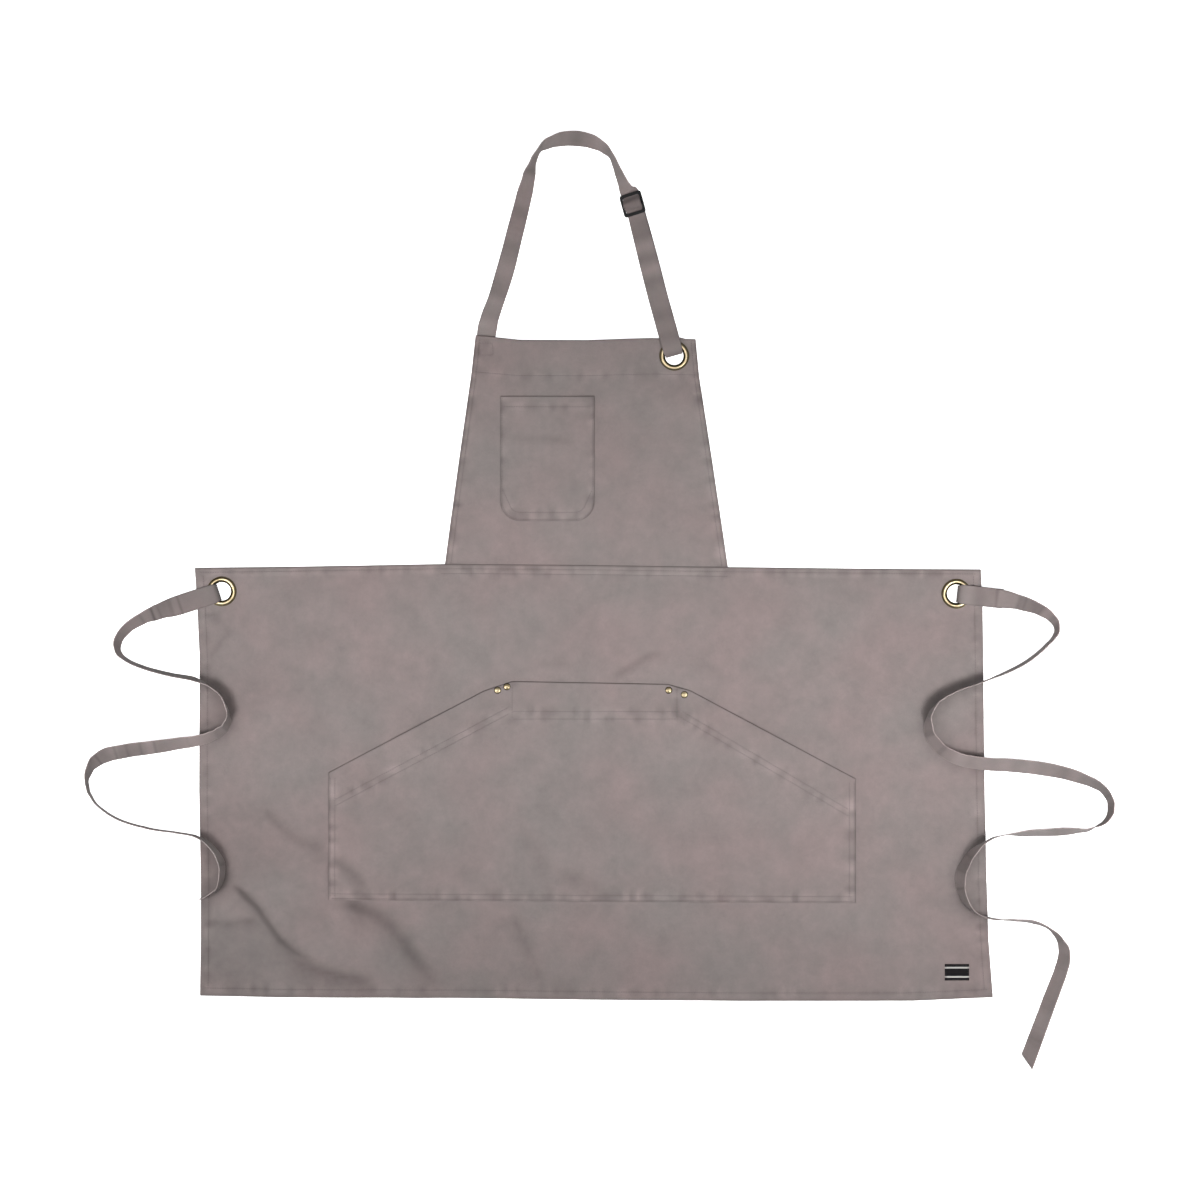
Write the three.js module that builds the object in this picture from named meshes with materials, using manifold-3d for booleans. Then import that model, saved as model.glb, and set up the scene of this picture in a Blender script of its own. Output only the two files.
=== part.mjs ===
// Bib apron laid out flat with its front up: canvas panels, tapes, brass eyelets and rivets.
// Millimetres, +Z up. The floor is Z = 0, +X runs to the right of the front and +Y towards the neck.
import * as THREE from 'three';
import { mergeVertices } from 'three/addons/utils/BufferGeometryUtils.js';
import Module from 'manifold-3d';

const wasm = await Module();
wasm.setup();

// Cloth and tape
const CLOTH = 1.2; // canvas wall
const HEM = 1.2; // extra wall where an edge is turned under
const POCKET_WALL = 1.6; // pocket canvas with its facing
const GAP = 0.3; // clearance between neighbouring pieces
const TAPE_WIDE = 25;
const TAPE_GATHERED = 21; // width of the tape inside an eyelet
const TAPE_THICK = 1.2;
const END_SKEW = -13; // slant of the cut at the end of the right tie, shorter on the skirt's side

// Brass eyelets, set in the cloth; grip is the cloth between the two flanges
const EYELET = { bore: 12.5, barrel: 0.8, front: 18.5, back: 17.5, flange: 0.8, dome: 1.7, sides: 24 };
const WAIST_GRIP = CLOTH;
const NECK_GRIP = CLOTH + HEM;
const EYELET_LIFT = TAPE_THICK + EYELET.flange + 2 * GAP; // cloth above the floor, with a tape below it

// Brass rivets through the front pocket and the skirt
const RIVET = { cap: 4.6, dome: 1.7, stem: 1.6, burr: 4, burrThick: 0.8, sides: 12 };
const RIVET_LIFT = RIVET.burrThick + GAP;

// Three-bar slider: across is along its bars, bars and slots follow each other down the tape
const SLIDER = { x: 41.5, y: 504, across: 32, bar: 3.2, slot: 9.2, thick: 2, underside: 3.6, corner: 3 };
const SLIDER_MIDDLE = SLIDER.underside + SLIDER.thick / 2; // above the tape behind it, both lying flat
const SLIDER_LONG = 3 * SLIDER.bar + 2 * SLIDER.slot;
const STRAP_LEAN = THREE.MathUtils.degToRad(15.4); // right leg of the neck strap, away from straight down
const LEG = new THREE.Vector3(Math.sin(STRAP_LEAN), -Math.cos(STRAP_LEAN), 0);
const LEG_SIDE = new THREE.Vector3(0, 0, 1).cross(LEG);
const WRAP_RADIUS = 2.8; // tape folded round the slider's middle bar

// Woven label
const LABEL = { x: 455, y: -474.5, wide: 31, high: 21, thick: 0.8, corner: 1 };

// Eyelet places; outX and outY point along the tape that leaves the hole, fold is where it turns down
const NECK_DOWN = 200; // from the slider's middle to the neck eyelet
const WAIST_LEFT = { x: -482, y: 11, outX: -0.952, outY: -0.306, fold: 4 };
const WAIST_RIGHT = { x: 454, y: 8, outX: 0.994, outY: -0.11, fold: 1.5 };
const NECK = {
  x: SLIDER.x + NECK_DOWN * LEG.x,
  y: SLIDER.y + NECK_DOWN * LEG.y,
  outX: -LEG.x,
  outY: -LEG.y,
  fold: 0.6,
};

const RIVETS = [
  { name: 'pocket_rivet_left_outer', x: -130.5, y: -115 },
  { name: 'pocket_rivet_left_inner', x: -118.5, y: -110.5 },
  { name: 'pocket_rivet_right_inner', x: 87.5, y: -115 },
  { name: 'pocket_rivet_right_outer', x: 107.5, y: -120.5 },
];

// Skirt: sides by share of the height, ends by share of the width
const SKIRT = { wide: 1004, high: 550, sideHem: 12, bottomHem: 12, topHem: 10 };
const SKIRT_SIDES = [
  { at: 0, low: -510, high: 501 },
  { at: 0.13, low: -509, high: 495.5 },
  { at: 0.27, low: -509, high: 493 },
  { at: 0.48, low: -511, high: 490.5 },
  { at: 0.8, low: -510.5, high: 488.5 },
  { at: 0.92, low: -513.5, high: 487.5 },
  { at: 1, low: -516.5, high: 485.5 },
];
const SKIRT_ENDS = [
  { at: 0, low: -504.5, high: 41 },
  { at: 0.1, low: -506.5, high: 42.2 },
  { at: 0.325, low: -507.2, high: 46 },
  { at: 0.5, low: -509.5, high: 44.5 },
  { at: 0.68, low: -511, high: 42 },
  { at: 0.9, low: -511, high: 39.6 },
  { at: 1, low: -506.5, high: 39 },
];
const TURN = 1.5; // run over which a hem steps down to single cloth
const SKIRT_COLUMNS = [
  { to: SKIRT.sideHem, step: SKIRT.sideHem },
  { to: SKIRT.sideHem + TURN, step: TURN },
  { to: 470, step: 23 },
  { to: SKIRT.wide - SKIRT.sideHem - TURN, step: 33 },
  { to: SKIRT.wide - SKIRT.sideHem, step: TURN },
  { to: SKIRT.wide, step: SKIRT.sideHem },
];
const SKIRT_ROWS = [
  { to: SKIRT.bottomHem, step: SKIRT.bottomHem },
  { to: SKIRT.bottomHem + TURN, step: TURN },
  { to: 130, step: 20 },
  { to: SKIRT.high - SKIRT.topHem - TURN, step: 34 },
  { to: SKIRT.high - SKIRT.topHem, step: TURN },
  { to: SKIRT.high, step: SKIRT.topHem },
];

// Bib: its lower edge is tucked behind the top of the skirt
const BIB = { wide: 322, high: 304, sideHem: 8, topHem: 46 };
const BIB_SIDES = [
  { at: 0, low: -200, high: 165 },
  { at: 0.5, low: -179, high: 142.5 },
  { at: 0.84, low: -164, high: 126.5 },
  { at: 1, low: -158.5, high: 122 },
];
const BIB_ENDS = [
  { at: 0, low: 30, high: 337.5 },
  { at: 0.07, low: 30, high: 335.5 },
  { at: 0.2, low: 30, high: 331.5 },
  { at: 0.5, low: 30, high: 331.3 },
  { at: 0.8, low: 30, high: 334 },
  { at: 1, low: 30, high: 332.5 },
];
const BIB_COLUMNS = [
  { to: BIB.sideHem, step: BIB.sideHem },
  { to: BIB.sideHem + TURN, step: TURN },
  { to: BIB.wide - BIB.sideHem - TURN, step: 28 },
  { to: BIB.wide - BIB.sideHem, step: TURN },
  { to: BIB.wide, step: BIB.sideHem },
];
const BIB_ROWS = [
  { to: BIB.high - BIB.topHem - TURN, step: 29 },
  { to: BIB.high - BIB.topHem, step: TURN },
  { to: BIB.high, step: 23 },
];

// Front pocket: straight bottom and sides, slanted mouths on both sides of a flat top
const FRONT_POCKET = { left: -346, step: 29, rows: 9 };
const FRONT_POCKET_ENDS = [
  { at: -346, low: -382.5, high: -219.5 },
  { at: -148, low: -383.5, high: -115.5 },
  { at: -112, low: -383.8, high: -103.3 },
  { at: 87, low: -385, high: -107 },
  { at: 116, low: -385.2, high: -115.5 },
  { at: 326, low: -386.3, high: -227.5 },
];

// Chest pocket: straight top, two round bottom corners
const CHEST_POCKET = { left: -127, right: -7, bottom: 100.5, top: 260, corner: 25, step: 23, rows: 7 };
const CORNER_STEPS = 4;

// Places where a panel lies higher than the floor, flat over a rectangle and falling away round it
const SKIRT_LIFTS = [
  { x: WAIST_LEFT.x, y: WAIST_LEFT.y, halfX: 50, halfY: 50, fade: 50, height: EYELET_LIFT },
  { x: WAIST_RIGHT.x, y: WAIST_RIGHT.y, halfX: 50, halfY: 50, fade: 50, height: EYELET_LIFT },
  { x: -17.5, y: 44, halfX: 222, halfY: 42, fade: 70, height: CLOTH + HEM + GAP },
  { x: -124.5, y: -113, halfX: 42, halfY: 42, fade: 110, height: RIVET_LIFT },
  { x: 97.5, y: -118, halfX: 42, halfY: 42, fade: 110, height: RIVET_LIFT },
];
const BIB_LIFTS = [
  { x: NECK.x, y: NECK.y, halfX: 50, halfY: 50, fade: 60, height: EYELET_LIFT },
  { x: -146, y: 320, halfX: 46, halfY: 40, fade: 60, height: TAPE_THICK + GAP },
];

// Soft folds: a ridge from one point to another
const SKIRT_FOLDS = [
  { x0: -440, y0: -385, x1: -318, y1: -488, half: 34, height: 5 },
  { x0: -272, y0: -426, x1: -214, y1: -490, half: 30, height: 4 },
  { x0: -130, y0: -428, x1: -80, y1: -490, half: 30, height: 3.5 },
  { x0: -432, y0: -240, x1: -398, y1: -278, half: 28, height: 3 },
  { x0: 30, y0: -86, x1: 72, y1: -66, half: 18, height: 2 },
  { x0: -505, y0: -64, x1: -468, y1: -42, half: 22, height: 2.2 },
  { x0: 433, y0: -51, x1: 474, y1: -76, half: 24, height: 2.2 },
];
const FRONT_POCKET_FOLDS = [
  { x0: -314, y0: -318, x1: -288, y1: -350, half: 28, height: 3 },
  { x0: -108, y0: -281, x1: -56, y1: -355, half: 26, height: 2.6 },
  { x0: -247, y0: -168, x1: -240, y1: -164, half: 78, height: 2.2 },
  { x0: 220, y0: -172, x1: 213, y1: -168, half: 78, height: 2.2 },
];
const CHEST_POCKET_FOLDS = [
  { x0: -98, y0: 206, x1: -58, y1: 208, half: 26, height: 1.4 },
  { x0: -22, y0: 256, x1: -12, y1: 252, half: 22, height: 1.5 },
];

// Tape routes. rest is the height of what the lower edge lies on, and roll turns the tape about its own
// length: 0 lies flat, 90 stands on edge, and a positive roll raises the edge on the left of the route.
const NECK_LEFT_LEG = [
  { x: -148, y: 306, rest: 0, roll: 0, wide: TAPE_GATHERED },
  { x: -146, y: 325, rest: 0, roll: 0, wide: TAPE_GATHERED },
  { x: -144.5, y: 342, rest: 0, roll: 0, wide: TAPE_GATHERED },
  { x: -140.5, y: 359, rest: 0, roll: 40 },
  { x: -132, y: 383, rest: 0, roll: 34 },
  { x: -121.5, y: 417, rest: 0, roll: 27 },
  { x: -109, y: 465, rest: 0, roll: 33 },
  { x: -96.5, y: 515, rest: 0, roll: 40 },
  { x: -91, y: 539, rest: 0, roll: 52 },
  { x: -85, y: 558, rest: 0, roll: 74 },
  { x: -78, y: 572, rest: 0, roll: 82 },
  { x: -65, y: 582, rest: 0, roll: 62 },
  { x: -47, y: 587, rest: 0, roll: 48 },
  { x: -29, y: 587.5, rest: 0, roll: 44 },
  { x: -11.5, y: 584, rest: 0, roll: 50 },
  { x: 4, y: 576, rest: 0, roll: 64 },
  { x: 14.5, y: 565, rest: 0, roll: 78 },
  { x: 20, y: 553, rest: 0, roll: 74 },
  { x: 24.7, y: 541, rest: 0, roll: 65 },
  { x: 30.6, y: 531, rest: 0.3, roll: 50 },
];

// Roll of the right leg and everything on it, by the way down from the slider's middle
const LEG_ROLLS = [
  { at: 17, roll: 31 },
  { at: 60, roll: 20 },
  { at: 120, roll: 0 },
  { at: NECK_DOWN, roll: 0 },
];

// The running tape over the slider's middle bar: down is the way along the leg from the bar's middle, and
// rest is measured square to the leg from the face that the tape behind it lies on
const OVER_SLIDER = [
  { down: -14, rest: 0.8 },
  { down: -9.4, rest: 1.6 },
  { down: -6.6, rest: 4.1 },
  { down: -4.4, rest: 6.7 },
  { down: -2, rest: 8.1 },
  { down: 0, rest: 8.3 },
  { down: 2.2, rest: 8.2 },
  { down: 4.6, rest: 6.6 },
  { down: 6.7, rest: 3.9 },
  { down: 9.2, rest: 2 },
  { down: 12, rest: 1.8 },
];
const OVER_LEG = [
  { at: 17, rest: 1.8 },
  { at: 60, rest: 1.8 },
  { at: 120, rest: 2.2 },
  { at: 155, rest: 4 },
  { at: 168, rest: 6 },
];
const BEHIND_SLIDER = { down: 7, rest: 0.1 };
const LEG_STEPS = 14; // stations that the two layers of tape between slider and eyelet have in common

const TIE_RIGHT = [
  { x: 491, y: 4, rest: 6.1, roll: 0 },
  { x: 511, y: 1.5, rest: 4.2, roll: 24 },
  { x: 535.5, y: -3.5, rest: 1.8, roll: 44 },
  { x: 561, y: -13, rest: 0.4, roll: 60 },
  { x: 576, y: -25, rest: 0, roll: 70 },
  { x: 581, y: -38, rest: 0, roll: 80 },
  { x: 573, y: -52, rest: 0, roll: 88 },
  { x: 547, y: -75.5, rest: 0, roll: 90 },
  { x: 520, y: -90.5, rest: 1.8, roll: 90 },
  { x: 491, y: -102.5, rest: 2.9, roll: 93 },
  { x: 453, y: -117, rest: 2.4, roll: 95 },
  { x: 431, y: -130, rest: 1.6, roll: 92 },
  { x: 420.5, y: -145.5, rest: 1.6, roll: 84 },
  { x: 418, y: -164, rest: 1.6, roll: 66 },
  { x: 428, y: -184, rest: 1.6, roll: 58 },
  { x: 452, y: -201, rest: 2, roll: 52 },
  { x: 491, y: -208.5, rest: 2.9, roll: 48 },
  { x: 523, y: -210.5, rest: 1.2, roll: 46 },
  { x: 561, y: -214.5, rest: 0, roll: 46 },
  { x: 599, y: -222.5, rest: 0, roll: 52 },
  { x: 627, y: -233, rest: 0, roll: 62 },
  { x: 641, y: -242, rest: 0, roll: 70 },
  { x: 649, y: -254.5, rest: 0, roll: 74 },
  { x: 650, y: -267, rest: 0, roll: 76 },
  { x: 645, y: -278.5, rest: 0, roll: 82 },
  { x: 637, y: -285.5, rest: 0, roll: 87 },
  { x: 621, y: -292, rest: 0, roll: 98 },
  { x: 586.5, y: -294.5, rest: 0, roll: 112 },
  { x: 548, y: -296.5, rest: 0, roll: 108 },
  { x: 514, y: -299, rest: 2, roll: 94 },
  { x: 492, y: -306, rest: 2.9, roll: 90 },
  { x: 472, y: -324, rest: 2.4, roll: 72 },
  { x: 458.5, y: -353, rest: 1.6, roll: 63 },
  { x: 463, y: -380, rest: 1.6, roll: 73 },
  { x: 478, y: -397.5, rest: 2.7, roll: 86 },
  { x: 498.5, y: -405.5, rest: 2.9, roll: 90 },
  { x: 525, y: -407.5, rest: 0.8, roll: 82 },
  { x: 551, y: -410, rest: 0, roll: 80 },
  { x: 570, y: -418, rest: 0, roll: 85 },
  { x: 584, y: -430.5, rest: 0, roll: 76 },
  { x: 590.5, y: -446, rest: 0, roll: 60 },
  { x: 589, y: -463, rest: 0, roll: 54 },
  { x: 571.5, y: -512.5, rest: 0, roll: 50 },
  { x: 543.5, y: -588, rest: 0, roll: 46 },
];
const TIE_LEFT = [
  { x: -516.5, y: 0, rest: 6.1, roll: 0 },
  { x: -538, y: -7, rest: 3.6, roll: -12 },
  { x: -561, y: -15, rest: 1.2, roll: -40 },
  { x: -583, y: -24, rest: 0.3, roll: -55 },
  { x: -602, y: -37, rest: 0, roll: -62 },
  { x: -613, y: -52, rest: 0, roll: -69 },
  { x: -613, y: -65, rest: 0, roll: -80 },
  { x: -604.5, y: -75, rest: 0, roll: -90 },
  { x: -580, y: -86, rest: 0, roll: -90 },
  { x: -548, y: -94.5, rest: 1.2, roll: -80 },
  { x: -516.5, y: -100.5, rest: 2.9, roll: -80 },
  { x: -495, y: -111, rest: 2.7, roll: -92 },
  { x: -481, y: -124, rest: 1.7, roll: -92 },
  { x: -473, y: -143, rest: 1.6, roll: -87 },
  { x: -474.5, y: -159, rest: 1.6, roll: -72 },
  { x: -487, y: -170.5, rest: 2.4, roll: -62 },
  { x: -510, y: -178.5, rest: 2.9, roll: -57 },
  { x: -535.5, y: -182.5, rest: 1.4, roll: -52 },
  { x: -561, y: -186.5, rest: 0, roll: -48 },
  { x: -602, y: -192, rest: 0, roll: -45 },
  { x: -627, y: -197.5, rest: 0, roll: -44 },
  { x: -640.5, y: -204.5, rest: 0, roll: -54 },
  { x: -649.5, y: -216.5, rest: 0, roll: -74 },
  { x: -652.8, y: -233, rest: 0, roll: -89 },
  { x: -642.5, y: -257.5, rest: 0, roll: -90 },
  { x: -614.5, y: -278, rest: 0, roll: -90 },
  { x: -574, y: -290.5, rest: 0, roll: -90 },
  { x: -538, y: -296, rest: 1.4, roll: -90 },
  { x: -511, y: -301.5, rest: 2.9, roll: -90 },
  { x: -492, y: -315.5, rest: 2.6, roll: -82 },
  { x: -481.5, y: -334, rest: 1.6, roll: -75 },
  { x: -481, y: -352, rest: 1.6, roll: -76 },
  { x: -487, y: -368.5, rest: 2.5, roll: -83 },
  { x: -501, y: -377.5, rest: 2.9, roll: -90 },
  { x: -509, y: -380.5, rest: 2.9, roll: -90 },
];

// A tape station is kept after this much length, bend or roll since the last one, and at a row to keep
const STATION = { length: 18, bend: THREE.MathUtils.degToRad(15), roll: 12, samples: 14 };
const STEEP = 0.3; // level share of a tape's heading below which it keeps the side it had

const material = (color, roughness, metalness) =>
  new THREE.MeshStandardMaterial({ color, roughness, metalness });
const canvasMaterial = () => material(0x938684, 0.92, 0);
const tapeMaterial = () => material(0x8d8280, 0.9, 0);
const brassMaterial = () => material(0xa8874c, 0.35, 1);
const plasticMaterial = () => material(0x161517, 0.45, 0);
const labelMaterial = () => material(0x1b181b, 0.85, 0);

// Value of one column of a table at a place between its rows
function along(table, column, at) {
  const next = Math.min(Math.max(table.findIndex((row) => row.at >= at), 1), table.length - 1);
  const from = table[next - 1];
  const to = table[next];
  const share = THREE.MathUtils.clamp((at - from.at) / (to.at - from.at), 0, 1);
  return THREE.MathUtils.lerp(from[column], to[column], share);
}

// Grid lines from 0 to the last stretch's end, evenly spaced within each stretch
function gridLines(stretches) {
  const lines = [0];
  for (const stretch of stretches) {
    const from = lines[lines.length - 1];
    const count = Math.max(1, Math.round((stretch.to - from) / stretch.step));
    for (let i = 1; i <= count; i += 1) {
      lines.push(THREE.MathUtils.lerp(from, stretch.to, i / count));
    }
  }
  return lines;
}

// Height of the highest lift at a place
function liftAt(lifts, x, y) {
  const heights = lifts.map((lift) => {
    const outX = Math.max(0, Math.abs(x - lift.x) - lift.halfX);
    const outY = Math.max(0, Math.abs(y - lift.y) - lift.halfY);
    return lift.height * THREE.MathUtils.smoothstep(lift.fade - Math.hypot(outX, outY), 0, lift.fade);
  });
  return Math.max(0, ...heights);
}

// Height of the folds at a place: each is a rounded ridge along its line
function foldAt(folds, x, y) {
  let height = 0;
  for (const fold of folds) {
    const runX = fold.x1 - fold.x0;
    const runY = fold.y1 - fold.y0;
    const share = ((x - fold.x0) * runX + (y - fold.y0) * runY) / (runX * runX + runY * runY);
    const near = THREE.MathUtils.clamp(share, 0, 1);
    const away = Math.hypot(x - fold.x0 - near * runX, y - fold.y0 - near * runY);
    if (away < fold.half) {
      height += (fold.height * (1 + Math.cos((Math.PI * away) / fold.half))) / 2;
    }
  }
  return height;
}

const skirtUnder = (x, y) => liftAt(SKIRT_LIFTS, x, y) + foldAt(SKIRT_FOLDS, x, y);
const bibUnder = (x, y) => liftAt(BIB_LIFTS, x, y);

// A closed cloth panel on a grid: place gives x and y, under the height below it and wall its thickness
function clothPanel(us, vs, place, under, wall) {
  const positions = [];
  const index = [];
  for (const side of [0, 1]) {
    for (const v of vs) {
      for (const u of us) {
        const [x, y] = place(u, v);
        positions.push(x, y, under(x, y) + side * wall(u, v));
      }
    }
  }
  const wide = us.length;
  const high = vs.length;
  const at = (side, i, j) => side * wide * high + j * wide + i;
  const quad = (a, b, c, d) => index.push(a, b, c, a, c, d);
  for (let j = 0; j < high - 1; j += 1) {
    for (let i = 0; i < wide - 1; i += 1) {
      quad(at(1, i, j), at(1, i + 1, j), at(1, i + 1, j + 1), at(1, i, j + 1));
      quad(at(0, i, j), at(0, i, j + 1), at(0, i + 1, j + 1), at(0, i + 1, j));
    }
  }
  for (let i = 0; i < wide - 1; i += 1) {
    quad(at(0, i, 0), at(0, i + 1, 0), at(1, i + 1, 0), at(1, i, 0));
    quad(at(0, i + 1, high - 1), at(0, i, high - 1), at(1, i, high - 1), at(1, i + 1, high - 1));
  }
  for (let j = 0; j < high - 1; j += 1) {
    quad(at(0, 0, j + 1), at(0, 0, j), at(1, 0, j), at(1, 0, j + 1));
    quad(at(0, wide - 1, j), at(0, wide - 1, j + 1), at(1, wide - 1, j + 1), at(1, wide - 1, j));
  }
  return indexed(positions, index);
}

function indexed(positions, index) {
  const geometry = new THREE.BufferGeometry();
  geometry.setAttribute('position', new THREE.Float32BufferAttribute(positions, 3));
  geometry.setIndex(index);
  return geometry;
}

// A panel whose four edges follow the two tables
const between = (sides, ends) => (u, v) => [
  THREE.MathUtils.lerp(along(sides, 'low', v), along(sides, 'high', v), u),
  THREE.MathUtils.lerp(along(ends, 'low', u), along(ends, 'high', u), v),
];

function toSolid(geometry) {
  const plain = geometry.clone();
  plain.deleteAttribute('normal');
  plain.deleteAttribute('uv');
  const merged = mergeVertices(plain, 1e-4);
  const vertProperties = new Float32Array(merged.attributes.position.array);
  const triVerts = new Uint32Array(merged.index.array);
  return new wasm.Manifold(new wasm.Mesh({ numProp: 3, vertProperties, triVerts }));
}

// The geometry with round holes cut through it along Z
function drilled(geometry, holes) {
  const tall = 60;
  let solid = toSolid(geometry);
  for (const hole of holes) {
    const cutter = new THREE.CylinderGeometry(hole.radius, hole.radius, tall, hole.sides);
    cutter.rotateX(Math.PI / 2);
    cutter.translate(hole.x, hole.y, 0);
    solid = solid.subtract(toSolid(cutter));
  }
  const mesh = solid.getMesh();
  return indexed(Array.from(mesh.vertProperties), Array.from(mesh.triVerts));
}

const eyeletHole = (eye) => ({
  x: eye.x,
  y: eye.y,
  radius: EYELET.bore + EYELET.barrel + 2 * GAP,
  sides: EYELET.sides,
});
const rivetHole = (rivet) => ({ x: rivet.x, y: rivet.y, radius: RIVET.stem + GAP, sides: RIVET.sides });

function skirtPanel() {
  const us = gridLines(SKIRT_COLUMNS).map((mm) => mm / SKIRT.wide);
  const vs = gridLines(SKIRT_ROWS).map((mm) => mm / SKIRT.high);
  const inHem = (u, v) =>
    Math.min(u, 1 - u) * SKIRT.wide < SKIRT.sideHem + TURN / 2 ||
    v * SKIRT.high < SKIRT.bottomHem + TURN / 2 ||
    (1 - v) * SKIRT.high < SKIRT.topHem + TURN / 2;
  const wall = (u, v) => CLOTH + (inHem(u, v) ? HEM : 0);
  const panel = clothPanel(us, vs, between(SKIRT_SIDES, SKIRT_ENDS), skirtUnder, wall);
  return drilled(panel, [eyeletHole(WAIST_LEFT), eyeletHole(WAIST_RIGHT), ...RIVETS.map(rivetHole)]);
}

function bibPanel() {
  const us = gridLines(BIB_COLUMNS).map((mm) => mm / BIB.wide);
  const vs = gridLines(BIB_ROWS).map((mm) => mm / BIB.high);
  const inHem = (u, v) =>
    Math.min(u, 1 - u) * BIB.wide < BIB.sideHem + TURN / 2 || (1 - v) * BIB.high < BIB.topHem + TURN / 2;
  const wall = (u, v) => CLOTH + (inHem(u, v) ? HEM : 0);
  return drilled(clothPanel(us, vs, between(BIB_SIDES, BIB_ENDS), bibUnder, wall), [eyeletHole(NECK)]);
}

function frontPocket() {
  const { left, step } = FRONT_POCKET;
  const stretches = FRONT_POCKET_ENDS.slice(1).map((row) => ({ to: row.at - left, step }));
  const us = gridLines(stretches).map((mm) => mm + left);
  const vs = gridLines([{ to: 1, step: 1 / FRONT_POCKET.rows }]);
  const place = (u, v) => [
    u,
    THREE.MathUtils.lerp(along(FRONT_POCKET_ENDS, 'low', u), along(FRONT_POCKET_ENDS, 'high', u), v),
  ];
  const under = (x, y) => skirtUnder(x, y) + CLOTH + GAP + foldAt(FRONT_POCKET_FOLDS, x, y);
  return drilled(clothPanel(us, vs, place, under, () => POCKET_WALL), RIVETS.map(rivetHole));
}

function chestPocket() {
  const { left, right, bottom, top, corner, step, rows } = CHEST_POCKET;
  const inCorner = [];
  for (let i = 1; i <= CORNER_STEPS; i += 1) {
    inCorner.push(corner * (1 - Math.cos((i / CORNER_STEPS) * (Math.PI / 2))));
  }
  const middle = gridLines([{ to: right - left - 2 * corner, step }]).slice(1);
  const us = [
    left,
    ...inCorner.map((mm) => left + mm),
    ...middle.map((mm) => left + corner + mm),
    ...inCorner.slice(0, -1).reverse().map((mm) => right - mm),
    right,
  ];
  const vs = gridLines([{ to: 1, step: 1 / rows }]);
  const bottomAt = (x) => {
    const into = Math.max(0, corner - Math.min(x - left, right - x));
    return bottom + corner - Math.sqrt(Math.max(0, corner * corner - into * into));
  };
  const place = (u, v) => [u, THREE.MathUtils.lerp(bottomAt(u), top, v)];
  const under = (x, y) => bibUnder(x, y) + CLOTH + GAP + foldAt(CHEST_POCKET_FOLDS, x, y);
  return clothPanel(us, vs, place, under, () => POCKET_WALL);
}

// Rows of a tape that dips through an eyelet, from over the front flange to under the back one
function throughEyelet(eye, grip) {
  const over = EYELET_LIFT + grip + EYELET.dome + 2 * GAP;
  const dip = [
    { out: 22, rest: over, wide: TAPE_WIDE },
    { out: 6, rest: over, wide: TAPE_GATHERED },
    { out: 3, rest: over - 0.1, wide: TAPE_GATHERED },
    { out: 1.2, rest: over - 0.5, wide: TAPE_GATHERED },
    { out: 0, rest: over * 0.64, wide: TAPE_GATHERED },
    { out: 0, rest: over * 0.36, wide: TAPE_GATHERED },
    { out: 1.2, rest: 0.4, wide: TAPE_GATHERED },
    { out: 3, rest: 0, wide: TAPE_GATHERED },
    { out: 6, rest: 0, wide: TAPE_GATHERED },
    { out: 22, rest: 0, wide: TAPE_WIDE },
  ];
  return dip.map((row) => ({
    x: eye.x + (eye.fold + row.out) * eye.outX,
    y: eye.y + (eye.fold + row.out) * eye.outY,
    rest: row.rest,
    roll: 0,
    wide: row.wide,
  }));
}

// A place on the right leg, rolled about the leg's own line together with the slider
function onLeg(row) {
  const roll = along(LEG_ROLLS, 'roll', row.down);
  const turn = THREE.MathUtils.degToRad(roll);
  const aside = -Math.sin(turn) * (row.rest + TAPE_THICK / 2 - SLIDER_MIDDLE);
  return {
    x: SLIDER.x + row.down * LEG.x + aside * LEG_SIDE.x,
    y: SLIDER.y + row.down * LEG.y + aside * LEG_SIDE.y,
    rest: row.rest * Math.cos(turn),
    roll,
    across: LEG_SIDE.clone().multiplyScalar(Math.cos(turn)).setZ(Math.sin(turn)),
    keep: row.keep,
  };
}

// Rows of the tape's last turn round the middle bar, from below it to above it
function roundMiddleBar() {
  const turns = 6;
  const rows = [];
  for (let i = 0; i <= turns; i += 1) {
    const angle = (i / turns) * Math.PI;
    const height = SLIDER_MIDDLE - WRAP_RADIUS * Math.cos(angle);
    rows.push({ down: -WRAP_RADIUS * Math.sin(angle), rest: height - TAPE_THICK / 2 });
  }
  return [...rows, { down: SLIDER.bar / 2, rest: SLIDER_MIDDLE + WRAP_RADIUS - TAPE_THICK / 2 }];
}

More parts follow.
